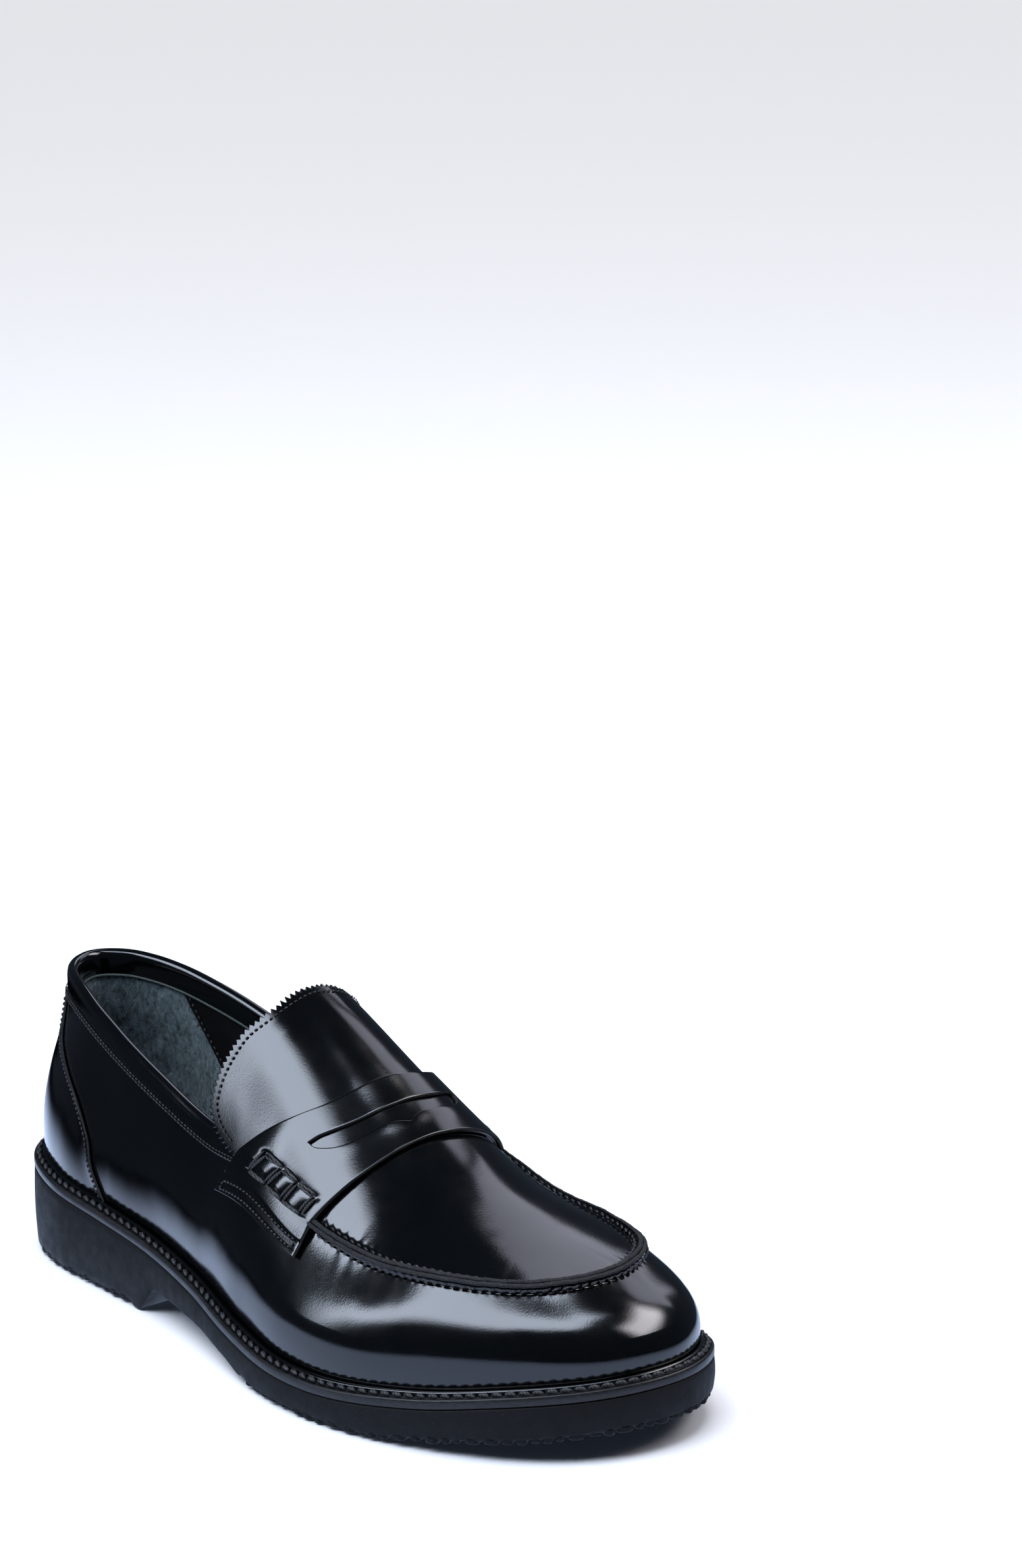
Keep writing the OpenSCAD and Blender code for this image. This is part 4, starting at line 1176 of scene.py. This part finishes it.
stitch_rows("collar_thread", [wall_row(lambda t, v=v: (t, np.full_like(t, v)), 0.74, -COLLAR_END + 0.1,
                                       COLLAR_END - 0.1) for v in (0.8745, 0.8955)],
            1.9, 0.74, 0.46, THREAD, tilt=-0.12, sink=0.1, jitter=0.04, replaces=["collar_stitching"])
FOXING_WIDTH, FOXING_HEIGHT = 48, 58


def foxing_shape(u, w):
    """The patch's edge stands thick, with a groove behind it where its stitches lie."""
    from_edge = (1 - u) * FOXING_WIDTH
    return (ripples(FOXING_WIDTH, FOXING_HEIGHT, (0.07, 22, 95))(u, w)
            - 0.12 * np.exp(-(from_edge - 1.3) ** 2 / 0.3) + 0.25 * np.exp(-(from_edge / 2.2) ** 4))


def foxing_sheet(side):
    def surface(u, w, off):
        v = 0.01 + w * 0.86
        return wall(side * mix(0.012, smooth(FOXING_EDGE, v), u), v, off)
    return surface


for side, name in ((1, "heel_foxing_lateral"), (-1, "heel_foxing_medial")):
    plate(name.replace("heel_foxing", "foxing_leather"), foxing_sheet(side), edged(FOXING_WIDTH, 0.35, 40),
          edged(FOXING_HEIGHT, 0.35, 44), 0.08, 0.95, GLOSS, radius=0.4, raw=True, shape=foxing_shape,
          replaces=[name], slot="upper_leather")
stitch_rows("foxing_thread", [wall_row(lambda v, k=k: (k * (smooth(FOXING_EDGE, v) - 0.052), v), 0.92,
                                       0.03, 0.85) for k in (-1, 1)],
            1.8, 0.74, 0.55, THREAD, sink=0.1, replaces=["foxing_stitching"])


def tab_surface(u, w, off):
    """The little tab on the back seam: rounded in outline, and proud of the heel in its middle."""
    du, dw = 2 * u - 1, 2 * w - 1
    reach = np.sqrt(np.clip(1 - 0.35 * dw**4, 0, 1))
    return wall(0.2 * du * reach, 0.505 + 0.075 * dw, off + 0.6 * (1 - dw**2) * (1 - 0.5 * du**2))


plate("back_tab_leather", tab_surface, edged(9, 0.4, 16), edged(9, 0.4, 16), 0.9, 2.9, RAW, radius=0.8,
      replaces=["back_tab"], slot="raw_edge")


# ---------------------------------------------------------------- strap
STRAP_UNDER, STRAP_TOP = 1.25, 2.5
STRAP_LENGTH, STRAP_WIDTH = 128.0, 24.0


def slot_share(u, w=0.45):
    """How far along the slot: 0 in its middle and 1 at its ends."""
    y = strap(u, np.full_like(u, w), np.zeros_like(u))[..., 1]
    return np.abs(y - SLOT_Y) / SLOT_HALF


def slot_ends():
    u = np.linspace(0.25, 0.75, 4001)
    inside = u[slot_share(u) < 1]
    return inside[0], inside[-1]


SLOT_U = slot_ends()
LADDER_W = [0.25, 0.46, 0.655, 0.87]
PUFF, GROOVE, HEM_DEPTH, FLANGE = 0.3, 0.2, 0.26, 0.35


def ladder_u(w, upper):
    """The share along the strap of a ladder's lower or upper rail."""
    return mix(0.244, 0.288, w) if upper else 0.147 + 0.07 * w**2.2


def strap_relief(u, w):
    """The strap's swells: puffed cells between the ladder's threads, sunk hems and ends. The slot lip is
    lifted apart from this, by lip_lift().
    """
    end = np.minimum(u, 1 - u)
    low, high = ladder_u(w, False), ladder_u(w, True)
    t = (end - low) / (high - low)
    cell = np.zeros_like(u)
    for a, b in zip(LADDER_W[:-1], LADDER_W[1:]):
        k = (w - a) / (b - a)
        inside = (k > 0) & (k < 1) & (t > 0) & (t < 1)
        cell = cell + inside * PUFF * np.sqrt(np.clip(np.sin(np.pi * np.clip(k, 0, 1))
                                                     * np.sin(np.pi * np.clip(t, 0, 1)), 0, 1))
    across = step(w, LADDER_W[0] - 0.1, LADDER_W[0]) * (1 - step(w, LADDER_W[3], LADDER_W[3] + 0.08))
    for rail in (low, high):
        cell = cell - GROOVE * across * np.exp(-((end - rail) * STRAP_LENGTH) ** 2)
    for k in LADDER_W:
        cell = cell - GROOVE * np.exp(-((w - k) * STRAP_WIDTH / 0.9) ** 2) * step(t, -0.1, 0) * (
            1 - step(t, 1, 1.1))
    inset = step(w, 0.05, 0.1) * (1 - step(w, 0.92, 0.97))
    hem = sum(HEM_DEPTH * np.exp(-((end - mix(a, b, w)) * STRAP_LENGTH / 0.55) ** 2)
              for a, b in ((0.047, 0.078), (0.013, 0.032))) * inset
    flange = FLANGE * (1 - step(end, 0.075, 0.1))
    p = strap(u, w, 0 * u)
    ripple = 0.022 * waves(p, 24, 101) + 0.008 * waves(p, 9, 102)
    return cell - hem - flange + ripple


def lips(q):
    """The slot's rear and front edges; its front edge rounds off towards the slot's ends."""
    rear = smooth(LIP_REAR, q)
    return rear, mix(rear, smooth(LIP_FRONT, q), np.sqrt(np.clip(1 - q**5, 0, 1)))


def lip_lift(w, front, q):
    """The slot's front lip stands up and its rear lip a little."""
    near = np.exp(-((w - np.where(front, *reversed(lips(q)))) * STRAP_WIDTH / 3.6) ** 2)
    return near * np.clip(1 - q**2, 0, 1) ** 0.7 * np.where(front, 0.26, 0.06)


def slot_stations(cut):
    """Shares along the strap, close together by its ends and by the slot's ends."""
    u0, u1 = SLOT_U
    bunched = (1 - np.cos(np.linspace(0, np.pi, 150))) / 2
    return np.concatenate([
        cut[:-1], np.linspace(cut[-1], u0 - cut[-1], 80), u0 - cut[::-1][1:-1], [u0],
        u0 + cut[1:-1], mix(u0 + cut[-1], u1 - cut[-1], bunched), u1 - cut[::-1][1:-1], [u1],
        u1 + cut[1:-1], np.linspace(u1 + cut[-1], 1 - cut[-1], 80), 1 - cut[::-1][1:]])


def strap_grids():
    """The strap's two faces, with the cells of its slot left open."""
    r = 0.35
    us = slot_stations(EDGE_STEPS * r / STRAP_LENGTH)
    u0, u1 = SLOT_U
    q = np.minimum(slot_share(us), 1)[:, None]
    a, b = lips(q)
    part = edged(9, r, 22)
    n = len(part)
    ws = np.concatenate([part * a, b + part * (1 - b)], 1)
    u, q = (np.repeat(x, 2 * n, 1) for x in (us[:, None], q))
    along_u, along_w = grid_lengths(strap(u, ws, STRAP_TOP))
    border = np.minimum(np.minimum(along_w, along_w[:, -1:] - along_w),
                        np.minimum(along_u, along_u[-1:] - along_u))
    front = np.arange(2 * n) >= n
    across = np.where(front, along_w - along_w[:, n:n + 1], along_w[:, n - 1:n] - along_w)
    past = np.maximum(np.maximum(u0 - u, u - u1), 0) * STRAP_LENGTH
    full = rounding(np.minimum(border, np.hypot(across, past)), r)
    lift = lip_lift(ws, front, q)
    relief = strap_relief(u, ws) + lift
    middle, half = (STRAP_UNDER + STRAP_TOP) / 2, (STRAP_TOP - STRAP_UNDER) / 2
    top = strap(u, ws, middle + half * full + relief)
    bottom = strap(u, ws, middle - half * full + np.maximum(relief, -0.3) * 0.6 + lift * 0.4)
    skip = np.zeros(u.shape, bool)
    skip[:-1, n - 1] = (us[:-1] >= u0 - 1e-9) & (us[1:] <= u1 + 1e-9)
    return top, bottom, full < 1e-6, skip, full < RAW_BELOW


strap_top, strap_base, strap_thin, strap_skip, strap_cut = strap_grids()
outward(sheet("strap_leather", strap_top, strap_base, strap_thin, GLOSS, skip=strap_skip, cut=strap_cut,
              replaces=["saddle_strap"], slot="upper_leather"), WELD_MM)
plate("strap_underlay", lambda u, w, off: strap(u, 0.02 + 0.96 * w, off), edged(STRAP_LENGTH, 0.3, 160),
      edged(23, 0.3, 30), 0.3, STRAP_UNDER - 0.05, GLOSS, radius=0.3,
      replaces=["strap_lining"], slot="lining_leather")


def strap_out(u, w):
    h = 0.004
    return unit(np.cross(strap(u + h, w) - strap(u - h, w), strap(u, w + h) - strap(u, w - h)))


STRAP_SIGN = np.sign(strap_out(np.array([0.5]), np.array([0.5]))[0, 2])


def on_strap(u, w, up):
    return strap(u, w, STRAP_TOP + strap_relief(u, w) + up)


def ladder(name, side, node):
    """Two rails and four rungs of doubled cord."""
    du, dw = 0.42 / STRAP_LENGTH, 0.42 / STRAP_WIDTH
    cords = []
    for k in (-1, 1):
        shift = np.array([k * du, 0])
        for a, b in zip(LADDER_W[:-1], LADDER_W[1:]):
            cords += [[(ladder_u(a, upper), a) + shift, (ladder_u(b, upper), b) + shift]
                      for upper in (False, True)]
        cords += [[(ladder_u(w, upper), w + k * dw) for upper in (False, True)] for w in LADDER_W]
    p, q = np.array(cords).transpose(1, 0, 2)
    if side > 0:
        p[:, 0], q[:, 0] = 1 - p[:, 0], 1 - q[:, 0]
    m = (p + q) / 2
    stitches(name, on_strap(p[:, 0], p[:, 1], 0.35), on_strap(q[:, 0], q[:, 1], 0.35),
             strap_out(m[:, 0], m[:, 1]) * STRAP_SIGN, 1.08, CORD, sink=0.3, jitter=0.04,
             replaces=[node], slot="thread_dark")


ladder("ladder_cords_lateral", -1, "strap_ladder_lateral")
ladder("ladder_cords_medial", 1, "strap_ladder_medial")


HEM_LINES = [(lambda t: (mix(0.047, 0.078, t), t), 0.07, 0.95),
             (lambda t: (mix(0.013, 0.032, t), t), 0.07, 0.95),
             (lambda t: (mix(0.0155, 0.05, t), np.full_like(t, 0.07)), 0, 1),
             (lambda t: (mix(0.0315, 0.0765, t), np.full_like(t, 0.95)), 0, 1)]


def hem_row(side, line, t0, t1):
    """A row of stitches on one end of the strap."""
    def at(t):
        u, w = line(t)
        return (u if side < 0 else 1 - u), w
    return (lambda t: on_strap(*at(t), 0.05)), (lambda t: strap_out(*at(t)) * STRAP_SIGN), t0, t1


stitch_rows("hem_thread", [hem_row(side, *line) for side in (-1, 1) for line in HEM_LINES],
            1.9, 0.72, 0.62, THREAD, sink=0.05, replaces=["strap_hem_stitching"])

# ---------------------------------------------------------------- tongue
TOOTH, TOOTH_DEPTH, TOOTH_POINTS = 2.15, 2.1, 4


def tongue_edges():
    """The free edge, the root and the directions out of the edge, for points from the lateral corner
    to the medial one, with how far each stands out as a tooth and its length along the edge."""
    half = np.array(FREE_EDGE, float)
    key = np.concatenate([half * [1, -1], half[::-1][1:]])
    key[:, 1] += smooth(MIDDLE, key[:, 0])
    dense_t = np.linspace(0, len(key) - 1, 3001)
    # a smooth curve through the points
    k = np.clip(dense_t.astype(int), 0, len(key) - 2)
    f = (dense_t - k)[:, None]
    pad_key = np.concatenate([[2 * key[0] - key[1]], key, [2 * key[-1] - key[-2]]])
    plan = catmull_rom(*(pad_key[k + j] for j in range(4)), f)
    length = length_along(instep(plan[:, 0], plan[:, 1]))
    teeth = int(round(length[-1] / TOOTH))
    at = np.linspace(0, length[-1], teeth * TOOTH_POINTS + 1)
    edge = np.column_stack([np.interp(at, length, plan[:, 0]), np.interp(at, length, plan[:, 1])])
    phase = np.arange(len(at)) % TOOTH_POINTS / TOOTH_POINTS
    tooth = 1 - np.abs(2 * phase - 1)
    y = np.linspace(-36.2, 36.2, len(at))
    x = STRAP_MID[0] + 0.3 - ROOT_BACK * (np.abs(y) / 36.5) ** STRAP_POWER[0]
    root = np.column_stack([x, y + smooth(MIDDLE, x)])
    along = unit(np.gradient(instep(edge[:, 0], edge[:, 1]), axis=0))
    across = unit(np.cross(along, instep_out(edge[:, 0], edge[:, 1])))
    across *= np.sign(np.sum(across[:, :2] * (edge - root), -1) + 1e-9)[:, None]
    return edge, root, across[:, :2], tooth, at


TONGUE_ROWS = [0.0, 0.06, 0.2, 0.45, 0.9, 1.5, 2.2, 2.9, 3.8, 5]
UNDER_STRAP = 7.0


def tongue_grids(low, high, trim):
    """The tongue's two faces: rows from its toothed edge to its root, and on under the strap."""
    edge, root, across, tooth, at = tongue_edges()
    # close to the corners the root lies beside the edge
    across[:12] = across[12]
    across[-12:] = across[-13]
    ragged = 1 + 0.12 * rng.normal(size=len(at))
    radius = 0.3
    rows = []
    for d in TONGUE_ROWS:
        stand = (tooth * TOOTH_DEPTH * ragged - TOOTH_DEPTH / 2 - trim) * np.clip(1 - d / 1.5, 0, 1)
        rows.append((edge + across * (stand - d)[:, None], rounding(d, radius)))
    reach = edge - across * TONGUE_ROWS[-1]
    rows += [(mix(reach, root, t), 1.0) for t in np.linspace(0.14, 1, 22)]
    rows += [(root + np.array([UNDER_STRAP * t, 0]), full) for t, full in ((0.3, 1.0), (0.65, 1.0), (1, 0.0))]
    mid, half = (low + high) / 2, (high - low) / 2
    grids = []
    for xy, full in rows:
        relief = uneven(np.column_stack([xy, 0 * xy[:, 0]]), 30, 10, 111)
        side_full = rounding(np.minimum(at, at[-1] - at), radius) * full
        grids.append((instep(xy[:, 0], xy[:, 1], mid + half * side_full + relief),
                      instep(xy[:, 0], xy[:, 1], mid - half * side_full + relief),
                      side_full < 1e-6, side_full < RAW_BELOW))
    return (np.stack(grid, 1) for grid in zip(*grids))


def bend_tongue(obj):
    """Bakes the tongue's placement into its points; it doesn't bend the tongue. Its root stays under the
    strap.
    """
    start = place([170.2, 0, 92.2])
    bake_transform(obj)


def tongue_sheet(name, low, high, trim, material, **kw):
    top, bottom, thin, cut = tongue_grids(low, high, trim)
    bend_tongue(sheet(name, top, bottom, thin, material, cut=cut, body=None, **kw))


tongue_sheet("tongue_leather", -1.35, 0.0, 0.0, GLOSS, replaces=["tongue"], slot="upper_leather")
tongue_sheet("tongue_back", -2.15, -1.4, 0.25, SMOOTH, replaces=["tongue_lining"], slot="lining_leather")


def tongue_row():
    """The row of stitches inside the tongue's free edge."""
    edge, _, across, _, at = tongue_edges()
    keep = (at > 6) & (at < at[-1] - 6)
    inner, mm = (edge - across * 2.75)[keep], at[keep]

    def curve(t):
        return instep(np.interp(t, mm, inner[:, 0]), np.interp(t, mm, inner[:, 1]), 0.04)
    return curve, (lambda t: instep_out(*curve(t)[:, :2].T)), mm[0], mm[-1]


bend_tongue(stitch_rows("tongue_thread", [tongue_row()], 2.0, 0.72, 0.55, THREAD, sink=0.2, body=None,
                        replaces=["tongue_stitching"]))

# ---------------------------------------------------------------- floor, lights, camera
STUDIO_MIDDLE, STUDIO_RADIUS = np.array([0, 0, 0.05]), 1.6
PANEL_GRID, PATCH_GRID = (48, 24), (48, 96)


def stage_mesh(name, points, faces, material, sees=()):
    """A part of the studio, seen only by the kinds of ray named in sees."""
    data = bpy.data.meshes.new(name)
    data.from_pydata(np.asarray(points).tolist(), [], np.asarray(faces).tolist())
    data.materials.append(material)
    obj = bpy.data.objects.new(name, data)
    bpy.context.scene.collection.objects.link(obj)
    for ray in ("camera", "diffuse", "glossy", "transmission", "shadow"):
        setattr(obj, "visible_" + ray, ray in sees)
    return obj


def glow_material(name, colour, radiance):
    """Light that fades towards the edges of a panel, as its glow attribute says."""
    m = bpy.data.materials.new(name)
    m.use_nodes = True
    tree = m.node_tree
    tree.nodes.clear()
    glow = tree.nodes.new("ShaderNodeAttribute")
    glow.attribute_name = "glow"
    strength = tree.nodes.new("ShaderNodeMath")
    strength.operation = "MULTIPLY"
    strength.inputs[1].default_value = radiance
    light = tree.nodes.new("ShaderNodeEmission")
    light.inputs["Color"].default_value = (*colour, 1)
    out = tree.nodes.new("ShaderNodeOutputMaterial")
    tree.links.new(glow.outputs["Fac"], strength.inputs[0])
    tree.links.new(strength.outputs[0], light.inputs["Strength"])
    tree.links.new(light.outputs[0], out.inputs["Surface"])
    return m


def set_glow(obj, values):
    layer = obj.data.attributes.new("glow", "FLOAT", "POINT")
    layer.data.foreach_set("value", np.asarray(values, float).ravel())


def softbox(name, spans, colour, radiance, fade):
    """A curved panel of light. Each span is (azimuth, lowest elevation, highest elevation) in
    degrees; azimuth 0 is -Y and 90 is +X. fade is the soft share of its length and height."""
    spans = np.array(spans, float)
    t = np.linspace(0, 1, PANEL_GRID[0])
    length = length_along(spans[:, [0, 2]])
    length /= length[-1]
    azimuth, low, high = (np.interp(t, length, spans[:, k]) for k in range(3))
    k, az = np.meshgrid(np.linspace(0, 1, PANEL_GRID[1]), np.radians(azimuth))
    el = np.radians(mix(low[:, None], high[:, None], k))
    away = np.stack([np.sin(az) * np.cos(el), -np.cos(az) * np.cos(el), np.sin(el)], -1)
    obj = stage_mesh(name, (STUDIO_MIDDLE + STUDIO_RADIUS * away).reshape(-1, 3), grid_faces(*PANEL_GRID),
                     glow_material(name, colour, radiance), ("glossy", "diffuse"))
    along, across = np.minimum(t, 1 - t)[:, None], np.minimum(k, 1 - k)
    set_glow(obj, step(along, -0.01, fade[0]) * step(across, -0.01, fade[1]))


COOL, WARM, LILAC = (0.74, 0.835, 1.0), (0.97, 0.945, 1.0), (0.8, 0.83, 1.0)
softbox("softbox_left", [(-44, 1, 9), (-40, 3, 22), (-35, 10, 56), (-28, 22, 65), (0, 33, 70),
                         (15, 39, 72), (30, 47, 73), (45, 52, 74), (60, 57, 75.5), (90, 62, 76),
                         (120, 67, 76), (140, 65, 75), (153, 61, 72)], COOL, 6.1, fade=(0.12, 0.28))
softbox("softbox_right", [(111, 29, 57), (130, 30, 58), (155, 30, 58), (180, 31, 52)], WARM, 5.7,
        fade=(0.22, 0.36))
softbox("strip_back", [(-162, 26, 44), (-155, 30, 50), (-150, 28, 54), (-146, 22, 57), (-136, 20, 60)],
        LILAC, 1.2, fade=(0.06, 0.08))
softbox("strip_low", [(-182, 22, 46), (-172, 24, 48), (-164, 8, 50)], LILAC, 1.2, fade=(0.2, 0.2))

# the floor by the shoe as polished leather mirrors it: a lit patch with the dark room beyond
LIT_REACH = [(-180, 0.19), (-120, 0.28), (-90, 0.3), (-74, 0.23), (-62, 0.13), (-45, 0.13), (-15, 0.26),
             (15, 0.24), (45, 0.26), (75, 0.28), (105, 0.28), (140, 0.22), (180, 0.17)]
PATCH_Z, FLOOR_Z, FLOOR_HALF = -0.0004, -0.0002, 15.0
patch_r, patch_a = np.meshgrid(np.linspace(0, 1.6, PATCH_GRID[0]),
                               np.linspace(-180, 180, PATCH_GRID[1], endpoint=False), indexing="ij")
patch_reach = patch_r * straight(LIT_REACH, patch_a)
patch = np.stack([patch_reach * np.sin(np.radians(patch_a)), -patch_reach * np.cos(np.radians(patch_a)),
                  np.full_like(patch_r, PATCH_Z)], -1)
mirrored_floor = stage_mesh("mirrored_floor", patch.reshape(-1, 3), grid_faces(*PATCH_GRID, wrap_cols=True),
                            glow_material("mirrored_floor", (0.75, 0.92, 1.3), 0.85), ("glossy",))
set_glow(mirrored_floor, (1 - step(patch_r, 0.75, 1.35))
         * straight([(-180, 0.9), (-125, 1.5), (-75, 1.5), (-50, 0.9), (180, 0.95)], patch_a))

floor_nodes = Nodes("pale_floor")
floor_nodes.set(Base_Color=(0.9, 0.905, 0.93, 1), Roughness=0.8, Specular_IOR_Level=0.0)
corners = [(x * FLOOR_HALF, y * FLOOR_HALF, FLOOR_Z) for x, y in ((-1, -1), (1, -1), (1, 1), (-1, 1))]
stage_mesh("floor", corners, [(0, 1, 2, 3)], floor_nodes.m, ("camera", "diffuse", "shadow", "transmission"))


def overhead_light():
    """Wide soft light from above, which gloss doesn't mirror."""
    data = bpy.data.lights.new("overhead", "SUN")
    data.energy, data.angle = 2.6, math.radians(70)
    sun = bpy.data.objects.new("overhead", data)
    bpy.context.scene.collection.objects.link(sun)
    sun.rotation_euler = (math.radians(8), math.radians(-10), 0)
    sun.visible_glossy = False


def dark_room():
    world = bpy.data.worlds.new("studio")
    world.use_nodes = True
    background = world.node_tree.nodes["Background"].inputs
    background["Color"].default_value = (0.05, 0.066, 0.09, 1)
    background["Strength"].default_value = 0.5
    bpy.context.scene.world = world


overhead_light()
dark_room()
bpy.context.scene.view_settings.view_transform = "Standard"

# the photo's camera in degrees and mm; aside moves it across its view
CAMERA = {"azimuth": 49.16, "elevation": 15.01, "roll": -0.743, "distance": 1667.2, "lens": 118.13,
          "aside": (53.9, 130.4), "target": (150, 0, 50)}


def make_camera():
    az, el = math.radians(CAMERA["azimuth"]), math.radians(CAMERA["elevation"])
    back = Vector((math.sin(az) * math.cos(el), -math.cos(az) * math.cos(el), math.sin(el)))
    right = Vector((math.cos(az), math.sin(az), 0))
    up = back.cross(right)
    roll = math.radians(CAMERA["roll"])
    right, up = (right * math.cos(roll) + up * math.sin(roll), up * math.cos(roll) - right * math.sin(roll))
    data = bpy.data.cameras.new("camera")
    data.sensor_width = 36
    data.lens = CAMERA["lens"]
    data.clip_start, data.clip_end = 0.05, 60
    obj = bpy.data.objects.new("camera", data)
    bpy.context.scene.collection.objects.link(obj)
    spot = (Vector(CAMERA["target"]) + back * CAMERA["distance"] + right * CAMERA["aside"][0]
            + up * CAMERA["aside"][1])
    turn = Matrix((right, up, back)).transposed().to_4x4()
    obj.matrix_world = Matrix.Translation(Vector(place(spot))) @ turn
    bpy.context.scene.camera = obj


make_camera()
